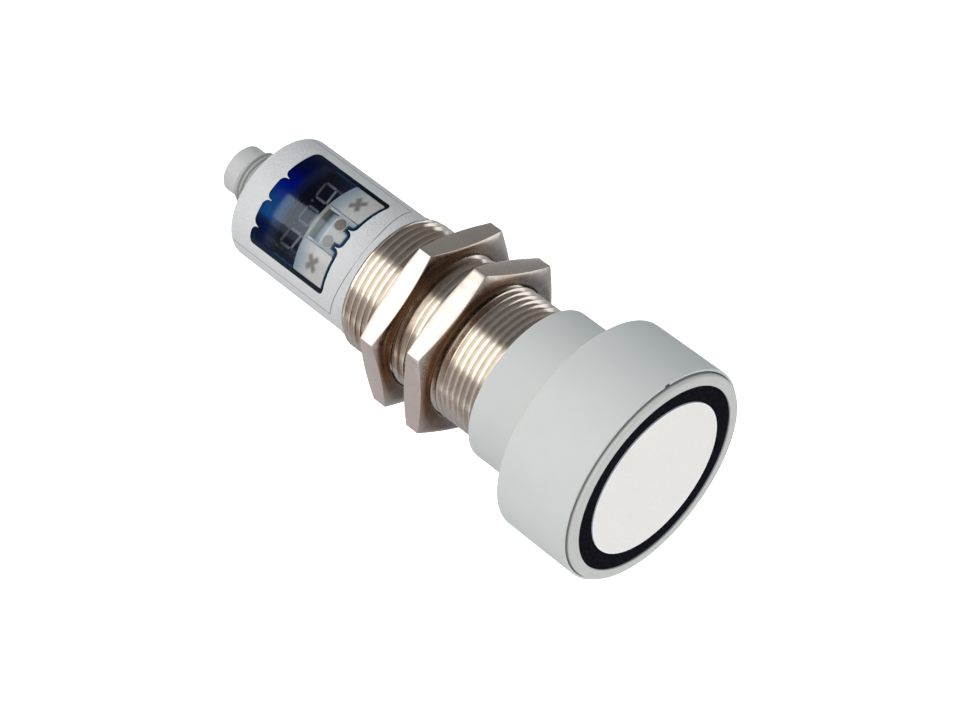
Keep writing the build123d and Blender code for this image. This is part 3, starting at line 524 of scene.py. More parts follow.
@dataclass(frozen=True)
class TintedClear:
    """Clear window plastic, nearly colourless where it is thin and deep blue in its thick rim.

    Spans whose names end in _behind are counted from the window's rear edge.
    """

    name: str
    thin: Colour = (0.955, 0.972, 0.985)
    edge: Colour = linear(0, 5, 20)
    teal: Colour = linear(0, 50, 80)
    navy: Colour = linear(0, 8, 40)
    # Painted light in the blues: lagoon is painted reflection, a lighter teal under the lamp's
    # reflection band; dusk and night are painted shade beyond the band's edges.
    lagoon: Colour = linear(0, 54, 108)
    deep: Colour = linear(0, 8, 102)
    dusk: Colour = linear(0, 5, 48)
    night: Colour = linear(0, 10, 50)
    shade: Colour = linear(12, 40, 78)
    shade_right: Colour = linear(4, 10, 40)
    shade_left: Colour = linear(16, 18, 42)
    sheen: Colour = (0.0, 0.45, 1.0)
    gloss_tint: Colour = (0.72, 0.85, 1.0)
    front: float = 76.6
    rear: float = 97.4
    radius: float = 13.8
    half_width: float = 11.05
    lobe_reach: float = 8.0
    tooth_round: float = 1.35
    tooth_half: float = 0.08
    tooth_depth: float = 1.45
    rear_teeth: tuple[float, ...] = (-35.3, -10.1, 13.3)
    front_teeth: tuple[float, ...] = (-9.1, 8.5)
    rim_width: float = 1.4
    rim_fall: float = 0.3
    rim_solid: Span = (0.5, 1.0)
    rail_width: float = 0.5
    rail: Span = (9.3, 10.1)
    line: Span = (0.22, 0.42)
    outline: Span = (0.1, 0.35)
    sides: Span = (7.5, 10.3)
    left: Span = (-6.0, -4.9)
    lagoon_end: Span = (-3.0, 1.2)
    deep_end: Span = (2.0, 7.0)
    shade_end: Span = (-1.0, 2.0)
    shade_behind: Span = (-5.4, -3.4)
    blue_behind: Span = (-7.0, -6.2)
    solid_behind: Span = (-6.6, -5.4)
    dull_behind: Span = (-4.5, -2.9)
    solid: float = 0.97
    dulling: float = 0.93
    # Gloss is strong only inside the band where the lamp's reflection lies and weaker outside it: a
    # painted limit to the reflection, not a change in the surface.
    gloss_rise: Span = (-6.5, -5.6)
    gloss_fall: Span = (0.3, 1.5)
    faces: float = 1.75
    gloss_outside_band: float = 0.5
    gloss_ior: float = 1.45
    haze_cells: float = 300.0
    haze: Span = (0.04, 0.09)
    bulk_roughness: float = 0.12
    bulk_gloss: float = 0.1
    crown: float = 0.018
    crown_side: float = -0.9

    def _box(self, recipe: Recipe, across: Span, along: Span, corner: float) -> Socket:
        """Distance inside a rounded rectangle in plan.

        Args:
            recipe: Material recipe to add the pattern to.
            across: Smallest and largest Y.
            along: Stations of the front and rear edge.
            corner: Corner radius.

        Returns:
            Distance from the edge in millimetres, positive inside.
        """
        parts = []
        for place, (low, high) in ((recipe.axis("Y"), across), (recipe.station(), along)):
            off = recipe.magnitude(recipe.minus(place, (low + high) / 2))
            parts.append(recipe.minus(off, (high - low) / 2 - corner))
        beyond = recipe.length(*(recipe.larger(part, 0.0) for part in parts))
        within = recipe.smaller(recipe.larger(*parts), 0.0)
        return recipe.minus(corner, recipe.plus(beyond, within))

    def _lobes(self, recipe: Recipe, teeth: tuple[float, ...], along: Span) -> Socket:
        """Distance inside the nearest of a row of lobes between teeth.

        Args:
            recipe: Material recipe to add the pattern to.
            teeth: Angles of the teeth from the top.
            along: Stations of the lobes' front and rear edge.

        Returns:
            Distance in millimetres, positive inside.
        """
        sides = [self.radius * math.sin(math.radians(angle)) for angle in teeth]
        lows = [-self.half_width] + [side + self.tooth_half for side in sides]
        highs = [side - self.tooth_half for side in sides] + [self.half_width]
        spans = zip(lows, highs)
        lobes = [self._box(recipe, span, along, self.tooth_round) for span in spans]
        return reduce(recipe.larger, lobes)

    def _inside(self, recipe: Recipe) -> Socket:
        """Distance inside the toothed outline.

        Args:
            recipe: Material recipe to add the pattern to.

        Returns:
            Distance in millimetres, positive inside.
        """
        ends = (self.front + self.tooth_depth, self.rear - self.tooth_depth)
        field = self._box(recipe, (-self.half_width, self.half_width), ends, 0.0)
        rear = self._lobes(recipe, self.rear_teeth, (self.rear - self.lobe_reach, self.rear))
        front = self._lobes(recipe, self.front_teeth, (self.front, self.front + self.lobe_reach))
        return recipe.larger(field, recipe.larger(rear, front))

    def _colour(self, recipe: Recipe, inside: Socket, depth: Socket) -> Socket:
        """Colour of the window's bulk, a thin teal rim in front and blue zones behind, with painted
        reflection and painted shade across it.

        Args:
            recipe: Material recipe to add the pattern to.
            inside: Distance inside the outline.
            depth: Distance inside the rim.

        Returns:
            The colour's socket.
        """
        across = recipe.axis("Y")
        behind = recipe.minus(recipe.station(), self.rear)
        # Painted reflection and painted shade across the window: lighter teal under the lamp's
        # band, darker blue beyond its edges and painted shade near the rear.
        left = recipe.ramp(across, *self.left, 1.0, 0.0)
        blue = recipe.blend(recipe.ramp(across, *self.lagoon_end), self.lagoon, self.deep)
        blue = recipe.blend(recipe.ramp(across, *self.deep_end), blue, self.dusk)
        blue = recipe.blend(left, blue, self.night)
        near = recipe.blend(recipe.ramp(across, *self.shade_end), self.shade, self.shade_right)
        near = recipe.blend(left, near, self.shade_left)
        blue = recipe.blend(recipe.ramp(behind, *self.shade_behind), near, blue)
        blue = recipe.blend(recipe.ramp(recipe.magnitude(across), *self.sides), blue, self.navy)
        blue = recipe.blend(recipe.ramp(inside, *self.outline), self.edge, blue)
        line = recipe.blend(recipe.ramp(depth, *self.line), self.edge, self.teal)
        return recipe.blend(recipe.ramp(behind, *self.blue_behind), line, blue)

    def _gloss(self, recipe: Recipe, inside: Socket) -> Socket:
        """Polished face, with a slight crown and a fall towards its rim.

        Args:
            recipe: Material recipe to add the shader to.
            inside: Distance inside the outline.

        Returns:
            The shader's socket.
        """
        off_crown = recipe.minus(recipe.axis("Y"), self.crown_side)
        fall = recipe.times(recipe.times(off_crown, off_crown), self.crown)
        rim = recipe.ramp(inside, 0.0, self.rim_width, 0.0, self.rim_fall)
        haze = recipe.ramp(recipe.noise(self.haze_cells), 0.2, 0.8, *self.haze)
        normal = recipe.bump(recipe.minus(rim, fall), 1.0)
        return recipe.out("BsdfGlossy", Color=self.gloss_tint, Roughness=haze, Normal=normal)

    def make(self) -> Material:
        """Build the material.

        Returns:
            The material.
        """
        recipe = Recipe(self.name)
        inside = self._inside(recipe)
        across = recipe.axis("Y")
        behind = recipe.minus(recipe.station(), self.rear)
        rail = recipe.ramp(recipe.magnitude(across), *self.rail, 0.0, self.rail_width)
        depth = recipe.minus(inside, rail)
        rim = recipe.ramp(depth, *self.rim_solid, self.solid, 0.0)
        bulk = recipe.out(
            "BsdfPrincipled",
            Base_Color=self._colour(recipe, inside, depth),
            Roughness=self.bulk_roughness,
            Specular_IOR_Level=self.bulk_gloss,
            Specular_Tint=self.sheen,
        )
        solid = recipe.larger(rim, recipe.ramp(behind, *self.solid_behind, 0.0, self.solid))
        within = recipe.out("MixShader", solid, recipe.out("BsdfTransparent", self.thin), bulk)
        dull = recipe.larger(rim, recipe.ramp(behind, *self.dull_behind))
        # Painted reflection: the gloss is confined to the band where the lamp is mirrored.
        band = recipe.band(across, self.gloss_rise, self.gloss_fall)
        band_gloss = recipe.ramp(band, 0.0, 1.0, self.gloss_outside_band, self.faces)
        bare = recipe.times(recipe.minus(1.0, recipe.times(dull, self.dulling)), band_gloss)
        outer = recipe.minus(1.0, recipe.node("NewGeometry").outputs["Backfacing"])
        facing = recipe.times(recipe.out("Fresnel", IOR=self.gloss_ior), outer)
        share = recipe.times(facing, bare, clamp=True)
        return recipe.finish(recipe.out("MixShader", share, within, self._gloss(recipe, inside)))


@dataclass(frozen=True)
class MilkyKey:
    """Milky key plastic with a cross moulded under each key's top."""

    name: str
    colour: Colour
    cross: Colour
    cross_station: float = 81.05
    cross_side: float = 7.27
    rear_colour: Colour = linear(126, 142, 156)
    rear_span: Span = (80.5, 85.5)
    half_length: float = 1.45
    half_breadth: float = 1.68
    stroke: float = 1.0
    blur: float = 0.48
    cloud: float = 0.12

    def _cross(self, recipe: Recipe) -> Socket:
        """Find the crosses.

        Args:
            recipe: Material recipe to add the pattern to.

        Returns:
            Mask that is 1 on the crosses.
        """
        along = recipe.minus(recipe.axis("X"), FACE_X - self.cross_station)
        across = recipe.minus(recipe.magnitude(recipe.axis("Y")), self.cross_side)
        across = recipe.times(across, self.half_length / self.half_breadth)
        falling = recipe.magnitude(recipe.plus(along, across))
        rising = recipe.magnitude(recipe.minus(along, across))
        half_stroke = self.stroke / math.sqrt(2)
        reach = 2 * self.half_length - half_stroke
        arms = []
        for beside, beyond in ((falling, rising), (rising, falling)):
            width = recipe.ramp(beside, half_stroke - self.blur, half_stroke + self.blur, 1.0, 0.0)
            length = recipe.ramp(beyond, reach - self.blur, reach + self.blur, 1.0, 0.0)
            arms.append(recipe.times(width, length))
        return recipe.larger(*arms)

    def make(self) -> Material:
        """Build the material.

        Returns:
            The material.
        """
        recipe = Recipe(self.name)
        cross = self._cross(recipe)
        rearward = recipe.ramp(recipe.station(), *self.rear_span)
        body = recipe.blend(rearward, self.colour, self.rear_colour)
        ground = recipe.blend(recipe.times(recipe.noise(700.0, 3.0), self.cloud), body, BLACK)
        return recipe.principled(
            Base_Color=recipe.blend(cross, ground, self.cross),
            Roughness=0.35,
            IOR=1.45,
            Subsurface_Weight=0.25,
            Subsurface_Radius=(1.0, 0.9, 0.8),
            Subsurface_Scale=0.6 * MM,
            Coat_Weight=0.6,
            Coat_Roughness=0.08,
            Normal=recipe.bump(recipe.minus(1.0, cross), 0.03, 0.5),
        )


@dataclass(frozen=True)
class SmoothPart:
    """Smooth small part, such as a lens, a chip or a contact, with a faint unevenness."""

    name: str
    colour: Colour
    roughness: float = 0.3
    metallic: float = 0.0
    gloss: float = 0.5
    speckle: float = 0.08
    scale: float = 1800.0

    def make(self) -> Material:
        """Build the material.

        Returns:
            The material.
        """
        recipe = Recipe(self.name)
        pattern = recipe.noise(self.scale, 3.0)
        least, most = self.roughness - 0.05, self.roughness + 0.05
        return recipe.principled(
            Base_Color=recipe.blend(pattern, dimmed(self.colour, 1 - self.speckle), self.colour),
            Metallic=self.metallic,
            Roughness=recipe.ramp(pattern, 0.25, 0.75, least, most),
            Specular_IOR_Level=self.gloss,
            Normal=recipe.bump(pattern, 0.004, 0.5),
        )


@dataclass(frozen=True)
class DigitBar:
    """Pale bars of the digits, of which those next to the light barrier lie in its shade."""

    name: str
    colour: Colour
    shaded: Colour
    lit: Span = (89.75, 90.0)
    cloud: float = 0.15

    def make(self) -> Material:
        """Build the material.

        Returns:
            The material.
        """
        recipe = Recipe(self.name)
        bar = recipe.blend(recipe.ramp(recipe.station(), *self.lit), self.shaded, self.colour)
        colour = recipe.blend(recipe.times(recipe.noise(2500.0, 2.0), self.cloud), bar, BLACK)
        return recipe.principled(Base_Color=colour, Roughness=0.5, Specular_IOR_Level=0.06)


@dataclass(frozen=True)
class StepPlate:
    """Milky plate between the keys, whose low shelf is painted paler and bluer: painted light in
    its shade.
    """

    name: str
    colour: Colour
    # The shelf colour is painted light, paler and bluer than the plate, lifting the shelf out of
    # its shade.
    shelf: Colour
    step: Span = (82.1, 82.7)
    cloud: float = 0.1

    def make(self) -> Material:
        """Build the material.

        Returns:
            The material.
        """
        recipe = Recipe(self.name)
        cloudy = recipe.noise(900.0, 3.0)
        # Painted light on the low shelf behind the step.
        colour = recipe.blend(recipe.ramp(recipe.station(), *self.step), self.colour, self.shelf)
        return recipe.principled(
            Base_Color=recipe.blend(recipe.times(cloudy, self.cloud), colour, BLACK),
            Roughness=0.45,
            Subsurface_Weight=0.8,
            Subsurface_Radius=WHITE,
            Subsurface_Scale=2.0 * MM,
            Normal=recipe.bump(cloudy, 0.01, 0.5),
        )


class Finish(Enum):
    """The sensor's finishes, each made once and shared."""

    # HEAD, RING and PLUG carry painted shade: in the head's seam groove, on the ring's outer side
    # next to the seam and in the plug's thread roots.
    HEAD = GrooveShadedPlastic(
        "head_plastic",
        linear(212, 212, 208),
        0.75,
        groove_shade=1.0,
        front=1.16,
        rear=2.0,
        floor=23.27,
        crest=23.33,
    )
    RING = GrooveShadedPlastic(
        "ring_plastic",
        linear(204, 202, 197),
        0.75,
        groove_shade=0.8,
        front=0.55,
        rear=1.6,
        soft=0.4,
        floor=30.0,
        crest=31.0,
    )
    CAP = SeamedPlastic("cap_plastic", linear(216, 214, 213), 0.65, 1900.0, 0.27)
    PLUG = GrooveShadedPlastic("plug_plastic", linear(202, 200, 197))
    FOAM = ClosedCellFoam("foam", linear(5, 4, 10), linear(36, 32, 43))
    RESIN = FilledResin("transducer_white", linear(247, 241, 234), linear(240, 233, 226))
    NICKEL = NickelPlate(
        "nickel_thread", (0.6, 0.555, 0.5), (0.55, 0.5, 0.44), 0.17, valley_span=(14.2, 14.65)
    )
    NUT = NickelPlate(
        "nickel_nut",
        (0.6, 0.555, 0.51),
        (0.57, 0.525, 0.48),
        0.22,
        marks_depth=0.002,
        washer_shade_span=(16.0, 21.5),
    )
    WINDOW = TintedClear("window_blue")
    KEY = MilkyKey("key_grey", linear(188, 186, 182), linear(112, 110, 104))
    PLATE = StepPlate("plate_white", linear(203, 193, 184), linear(214, 226, 234))
    STRIP = SmoothPart("strip_milky", linear(196, 200, 202), speckle=0.05)
    LENS = SmoothPart("lens_brown", linear(132, 116, 104), 0.25)
    BARRIER = SmoothPart("barrier_cream", linear(146, 141, 124), 0.5)
    DISPLAY = SmoothPart("display_dark", linear(14, 12, 60), 0.5, gloss=0.06, speckle=0.2)
    SEGMENT = DigitBar("segment_grey", linear(190, 194, 202), linear(74, 76, 94))
    INNER = SmoothPart("inner_plastic", linear(60, 62, 66), 0.5)
    RUBBER = SmoothPart("seal_rubber", linear(28, 28, 30), 0.6)
    BOARD = SmoothPart("board_green", linear(24, 74, 52), 0.35, scale=3000.0)
    CHIP = SmoothPart("component_black", linear(32, 32, 34), 0.4)
    PLUNGER = SmoothPart("plunger_black", linear(40, 40, 42), 0.4)
    CAN = SmoothPart("capacitor_can", linear(188, 190, 194), 0.3, 1.0)
    CLEAR = SmoothPart("diode_clear", linear(214, 214, 204), 0.2)
    GOLD = SmoothPart("contact_gold", linear(222, 186, 112), 0.25, 1.0)
    COPPER = SmoothPart("lead_copper", linear(204, 128, 96), 0.3, 1.0)
    CUP = SmoothPart("cup_metal", linear(176, 178, 182), 0.35, 1.0)
    CERAMIC = SmoothPart("piezo_ceramic", linear(206, 196, 172), 0.5)

    @cached_property
    def material(self) -> Material:
        """Build the finish on its first use."""
        return self.value.make()


def add_object(name: str, mesh: Mesh) -> bpy.types.Object:
    """Put a mesh into the scene as an object at the origin.

    Args:
        name: Name of the piece.
        mesh: Its mesh, in metres in the row frame.

    Returns:
        The new object.
    """
    made = bpy.data.objects.new(name, mesh)
    bpy.context.scene.collection.objects.link(made)
    return made


def baked(name: str, build: bmesh.types.BMesh, outward: bool = True) -> Mesh:
    """Turn a mesh under construction into a finished one.

    Args:
        name: Name of the mesh.
        build: Mesh under construction, which is freed.
        outward: Whether its faces are turned outwards.

    Returns:
        The mesh.
    """
    if outward:
        bmesh.ops.recalc_face_normals(build, faces=build.faces)
    mesh = bpy.data.meshes.new(name)
    build.to_mesh(mesh)
    build.free()
    return mesh


def skin(build: bmesh.types.BMesh, rings: list[list[bmesh.types.BMVert]], closed: bool) -> None:
    """Fill the bands between rings of points with faces.

    Args:
        build: Mesh under construction.
        rings: Points of each ring, in order.
        closed: Whether the last ring joins the first.
    """
    following = rings[1:] + (rings[:1] if closed else [])
    for first, second in zip(rings, following):
        for index in range(len(first)):
            beyond = (index + 1) % len(first)
            corners = (first[index], first[beyond], second[beyond], second[index])
            distinct = list(dict.fromkeys(corners))
            if len(distinct) > 2:
                build.faces.new(distinct)


def block(name: str, size: Triple, middle: Triple, turn: float = 0.0) -> Mesh:
    """Make a box.

    Args:
        name: Name of the mesh.
        size: Its lengths along X, Y and Z in millimetres.
        middle: Its middle in metres.
        turn: Turn about the sensor's axis in degrees, once it is in place.

    Returns:
        The mesh.
    """
    build = bmesh.new()
    bmesh.ops.create_cube(build, size=1.0)
    bmesh.ops.scale(build, vec=Vector(size) * MM, verts=build.verts)
    bmesh.ops.translate(build, vec=Vector(middle), verts=build.verts)
    bmesh.ops.rotate(build, matrix=Matrix.Rotation(math.radians(turn), 3, "X"), verts=build.verts)
    return baked(name, build)


def arc(
    station: float, radius: float, size: float, start: float, end: float, steps: int = 6
) -> Profile:
    """Points of a round corner in a turned profile.

    Args:
        station: Station of the arc's centre.
        radius: Radius of the arc's centre from the barrel's axis.
        size: Radius of the arc.
        start: First angle in degrees, from the rear, turning outwards.
        end: Last angle in degrees.
        steps: Number of chords.

    Returns:
        Points as station and radius.
    """
    turns = [math.radians(start + (end - start) * index / steps) for index in range(steps + 1)]
    return [(station + size * math.cos(turn), radius + size * math.sin(turn)) for turn in turns]


def supported(profile: Profile, closed: bool, margin: float = 0.05) -> Profile:
    """Add a corner close to both ends of each long side, to keep the rounds' shading on them.

    Args:
        profile: Station and radius of each corner, in order.
        closed: Whether the last corner joins the first.
        margin: Distance of an added corner from the side's end.

    Returns:
        The profile with the added corners.
    """
    made = []
    for index, (first, second) in enumerate(zip(profile, profile[1:] + profile[:1])):
        made.append(first)
        length = math.dist(first, second)
        if length < 1.0 or (not closed and index == len(profile) - 1):
            continue
        for share in (margin / length, 1 - margin / length):
            made.append(tuple(near + share * (far - near) for near, far in zip(first, second)))
    return made


def lathe(name: str, profile: Profile, columns: int = 224, closed: bool = True) -> Mesh:
    """Turn a profile about the barrel's axis.

    Args:
        name: Name of the mesh.
        profile: Station and radius of each corner, in order.
        columns: Number of steps round the axis.
        closed: Whether the last corner joins the first.

    Returns:
        The mesh.
    """
    build = bmesh.new()
    turns = [2 * math.pi * column / columns for column in range(columns)]
    rings = []
    for station, radius in supported(profile, closed):
        if radius:
            rings.append([build.verts.new(turned(station, radius, turn)) for turn in turns])
        else:
            rings.append([build.verts.new(turned(station, 0, 0))] * columns)
    skin(build, rings, closed)
    return baked(name, build)


def joined(name: str, *meshes: Mesh, gap: float = 0.0) -> Mesh:
    """Put meshes into one.

    Args:
        name: Name of the new mesh.
        *meshes: Meshes to put together.
        gap: Largest distance between points that become one, or 0 to leave all as it is.

    Returns:
        The new mesh.
    """
    build = bmesh.new()
    for mesh in meshes:
        build.from_mesh(mesh)
    if gap:
        bmesh.ops.remove_doubles(build, verts=build.verts, dist=gap * MM)
        bmesh.ops.dissolve_degenerate(build, edges=build.edges, dist=1e-7)
    return baked(name, build, outward=bool(gap))


def plain_copy(thing: bpy.types.Object) -> Mesh:
    """Carry out an object's modifiers and remove the object.

    Args:
        thing: Object with modifiers.

    Returns:
        The plain mesh.
    """
    bpy.context.view_layer.update()
    evaluated = thing.evaluated_get(bpy.context.evaluated_depsgraph_get())
    mesh = bpy.data.meshes.new_from_object(evaluated)
    bpy.data.objects.remove(thing)
    return mesh


def dressed(name: str, mesh: Mesh, finish: Finish, slot: str, *nodes: str) -> None:
    """Make a finished piece that stands for CAD nodes and rides on their body.

    Args:
        name: Name of the piece.
        mesh: Its mesh.
        finish: Its finish.
        slot: Material slot of the record; not used.
        *nodes: CAD nodes that it stands for.
    """
    mesh.shade_smooth()
    mesh.set_sharp_from_angle(angle=math.radians(HARD_EDGE))
    mesh.materials.clear()
    mesh.materials.append(finish.material)
    piece = add_object(name, mesh)
    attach(piece, frame["nodes"][nodes[0]]["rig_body"])
    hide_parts(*nodes)
    log.info("%s: %d faces, for %s", name, len(mesh.polygons), ", ".join(nodes))


def coat(finish: Finish, *nodes: str) -> None:
    """Give CAD nodes that stay as they are a finish.

    Args:
        finish: Finish to give them.
        *nodes: Names of the nodes.
    """
    for name in nodes:
        frame["nodes"][name].material_slots[0].material = finish.material
        log.info("%s keeps its CAD shape, in %s", name, finish.material.name)


@dataclass
class ThreadCutter:
    """Geometry Nodes tree that makes the outer surface of a right-hand screw thread."""

    name: str
    radius: float
    depth: float
    pitch: float
    front: float
    rear: float
    chamfer: float
    columns: int
    rows_per_turn: int = 16
    crest: float = 0.0625
    root: float = 0.375
    merge: float = 2e-6

    def _tree(self) -> bpy.types.NodeTree:
        """Build the node tree with its named sizes.

        Returns:
            The tree.
        """
        tree = bpy.data.node_groups.new(self.name + "_tree", "GeometryNodeTree")
        kinds = dict.fromkeys(("Radius", "Depth", "Pitch", "Front", "Length", "Chamfer"), "Float")
        for name, kind in {**kinds, "Rows": "Int", "Columns": "Int", "Finish": "Material"}.items():
            tree.interface.new_socket(name, in_out="INPUT", socket_type="NodeSocket" + kind)
        tree.interface.new_socket("Geometry", in_out="OUTPUT", socket_type="NodeSocketGeometry")
        graph = Graph(tree)
        given = graph.node("GroupInput", family="").outputs
        spot = graph.node("SeparateXYZ", graph.out("InputPosition", family="Geometry")).outputs
        turn = graph.plus(spot["X"], 0.5)
        turns = graph.over(graph.minus(given["Rows"], 1.0), float(self.rows_per_turn))
        raw = graph.minus(graph.plus(graph.times(graph.plus(spot["Y"], 0.5), turns), turn), 1.0)
        along = graph.larger(graph.smaller(graph.times(raw, given["Pitch"]), given["Length"]), 0.0)
        phase = graph.plus(graph.minus(graph.over(along, given["Pitch"]), turn), 2.0)
        away = graph.magnitude(graph.minus(graph.math("FRACT", phase), 0.5))
        flank = graph.out("MapRange", away, self.crest, self.root, 0.0, 1.0)
        cut = graph.times(flank, given["Depth"])
        from_end = graph.smaller(along, graph.minus(given["Length"], along))
        bevel = graph.larger(graph.minus(given["Chamfer"], from_end), 0.0)
        radius = graph.minus(given["Radius"], graph.larger(cut, bevel))
        angle = graph.times(turn, 2 * math.pi)
        side = graph.times(radius, graph.math("SINE", angle))
        height = graph.times(radius, graph.math("COSINE", angle))
        place = graph.out("CombineXYZ", graph.minus(given["Front"], along), side, height)
        counts = {"Vertices_X": given["Columns"], "Vertices_Y": given["Rows"]}
        shape = graph.out("MeshGrid", family="Geometry", **counts)
        for kind, inputs in (
            ("SetPosition", {"Position": place}),
            ("MergeByDistance", {"Distance": self.merge}),
            ("RealizeInstances", {}),
            ("SetMaterial", {"Material": given["Finish"]}),
        ):
            shape = graph.out(kind, shape, family="Geometry", **inputs)
        graph.node("GroupOutput", shape, family="")
        return tree

    def surface(self, finish: Finish) -> Mesh:
        """Run the tree and keep its result as a plain mesh.

        Args:
            finish: Finish of the thread.

        Returns:
            The thread's outer surface, open at both ends.
        """
        carrier = add_object(self.name + "_carrier", bpy.data.meshes.new(self.name + "_blank"))
        modifier = carrier.modifiers.new("thread", "NODES")
        modifier.node_group = self._tree()
        length = self.rear - self.front
        values = {
            "Radius": self.radius * MM,
            "Depth": self.depth * MM,
            "Pitch": self.pitch * MM,
            "Front": station_x(self.front),
            "Length": length * MM,
            "Chamfer": self.chamfer * MM,
            "Rows": math.ceil((length / self.pitch + 1) * self.rows_per_turn) + 1,
            "Columns": self.columns + 1,
            "Finish": finish.material,
        }
        for item in modifier.node_group.interface.items_tree:
            if item.in_out == "INPUT":
                modifier[item.identifier] = values[item.name]
        carrier.update_tag()
        return plain_copy(carrier)


@dataclass
class SensorHead:
    """Wide moulded head with its ring, foam and transducer disc."""

    radius: float = 23.772
    draft: float = 0.17
    draft_start: Span = (8.0, 0.05)
    seam: float = 1.15
    seam_gap: float = 0.24
    seam_depth: float = 0.7
    front_round: float = 0.3
    rear: float = 19.15
    rear_round: float = 0.7
    floor: float = 14.0
    shoulder: float = 17.0
    pocket_radius: float = 21.93
    opening_radius: float = 12.8
    collar_radius: float = 17.07
    collar_rear: float = 33.1
    collar_round: float = 0.4
    collar_root: float = 0.35
    sleeve_radius: float = 14.93
    ring_radius: float = 23.02
    ring_round: float = 0.5
    ring_inner_round: float = 0.15
    skirt_end: float = 8.0
    foam_radius: float = 20.75
    foam_recess: float = 0.2
    foam_pillow: float = 0.16
    foam_rear: float = 12.0
    disc_radius: float = 17.03
    disc_rear: float = 3.2
    disc_round: float = 0.12
    notch_angle: float = 37.0
    notch_width: float = 1.3
    notch_depth: float = 0.35
    notch_height: float = 2.0

    def _housing(self) -> Mesh:
        """Turn the housing, with its rounded shoulders and the small root round of the collar.

        Returns:
            The housing without its notch.
        """
        front, rear = self.front_round, self.rear_round
        root, collar = self.collar_root, self.collar_round
        start, step = self.draft_start
        return lathe(
            "head_housing",
            [
                (self.seam, self.pocket_radius),
                (self.seam, self.ring_radius),
                (self.seam + self.seam_depth, self.ring_radius),
                (self.seam + self.seam_depth, self.ring_radius + self.seam_gap),
                (self.seam, self.ring_radius + self.seam_gap),
                *arc(self.seam + front, self.radius - front, front, 180, 90, 4),
                (start, self.radius - step),
                *arc(self.rear - rear, self.radius - self.draft - rear, rear, 90, 0, 8),
                *arc(self.rear + root, self.collar_radius + root, root, 180, 270, 5),
                *arc(self.collar_rear - collar, self.collar_radius - collar, collar, 90, 0),
                (self.collar_rear, self.sleeve_radius),
                (self.shoulder, self.sleeve_radius),
                (self.shoulder, self.opening_radius),
                (self.floor, self.opening_radius),
                (self.floor, self.pocket_radius),
            ],
        )

    def _notched(self, mesh: Mesh) -> Mesh:
        """Cut the pry notch into the housing's front edge.

        Args:
            mesh: Turned housing.

        Returns:
            The housing with its notch.
        """
        size = (2 * self.notch_depth, self.notch_width, self.notch_height)
        middle = (station_x(self.seam), 0, self.radius * MM)
        cutter = add_object("notch_cutter", block("notch_cutter", size, middle, -self.notch_angle))
        body = add_object("housing_blank", mesh)
        cut = body.modifiers.new("notch", "BOOLEAN")
        cut.operation = "DIFFERENCE"
        cut.object = cutter
        cut.solver = "EXACT"
        result = plain_copy(body)
        bpy.data.objects.remove(cutter)
        return result

    def _ring(self) -> Mesh:
        """Turn the front ring with its soft front edge.

        Returns:
            The ring.
        """
        inner, outer = self.ring_inner_round, self.ring_round
        return lathe(
            "front_ring",
            [
                *arc(inner, self.foam_radius + inner, inner, 270, 180, 3),
                *arc(outer, self.ring_radius - outer, outer, 180, 90, 10),
                (self.seam, self.ring_radius),
                (self.seam, self.pocket_radius),
                (self.skirt_end, self.pocket_radius),
                (self.skirt_end, self.foam_radius),
            ],
        )

    def _foam(self) -> Mesh:
        """Turn the foam ring, pillowed a little between the ring and the disc.

        Returns:
            The foam ring.
        """
        middle = (self.foam_radius + self.disc_radius) / 2
        half = (self.foam_radius - self.disc_radius) / 2
        shares = [index / 4 - 1 for index in range(9)]
        crown = []
        for share in shares:
            crown.append((self.foam_recess + self.foam_pillow * share**4, middle + half * share))
        ends = [(self.foam_rear, self.disc_radius), (self.foam_rear, self.foam_radius)]
        return lathe("decoupling_ring", [ends[0], *crown, ends[1]])

    def _disc(self) -> Mesh:
        """Turn the disc with its fine edge round and two rings of points on its face.

        Returns:
            The disc.
        """
        edge = self.disc_round
        rim = arc(edge, self.disc_radius - edge, edge, 180, 90, 3)
        rear = [(self.disc_rear, self.disc_radius), (self.disc_rear, 0.0)]
        return lathe("matching_layer", [(0.0, 0.0), (0.0, 6.0), (0.0, 12.0), *rim, *rear])

    def build(self) -> None:
        """Build and dress the head."""
        housing = self._notched(self._housing())
        dressed("moulded_head", housing, Finish.HEAD, "head_plastic", "head_housing")
        dressed("front_bezel", self._ring(), Finish.RING, "ring_plastic", "front_ring")
        dressed("foam_surround", self._foam(), Finish.FOAM, "foam", "decoupling_ring")
        dressed("transducer_face", self._disc(), Finish.RESIN, "transducer_white", "matching_layer")
        coat(Finish.CUP, "transducer_cup")
        coat(Finish.CERAMIC, "piezo_disc")
        coat(Finish.FOAM, "backing_foam")
        coat(Finish.COPPER, "transducer_leads")
        coat(Finish.INNER, "retaining_plate")
        coat(Finish.RUBBER, "head_seal")


@dataclass
class Barrel:
    """Nickel-plated sleeve with its full thread."""

    radius: float = 14.93
    bore_radius: float = 13.0
    front: float = 18.6
    thread_front: float = 31.4
    rear: float = 70.75
    pitch: float = 1.5
    depth: float = 0.81
    chamfer: float = 1.05
    columns: int = 144

    def build(self) -> None:
        """Build and dress the sleeve."""
        sizes = (self.radius, self.depth, self.pitch, self.thread_front, self.rear)
        cutter = ThreadCutter("barrel_thread", *sizes, self.chamfer, self.columns)
        root = self.radius - self.chamfer
        profile = [
            (self.thread_front, root),
            (self.thread_front - self.chamfer, self.radius),
            (self.front, self.radius),
            (self.front, self.bore_radius),
            (self.rear, self.bore_radius),
            (self.rear, root),
        ]
        inside = lathe("sleeve_inside", profile, self.columns, False)
        mesh = joined("sleeve", cutter.surface(Finish.NICKEL), inside, gap=WELD_GAP)
        dressed("threaded_barrel", mesh, Finish.NICKEL, "nickel", "threaded_sleeve")


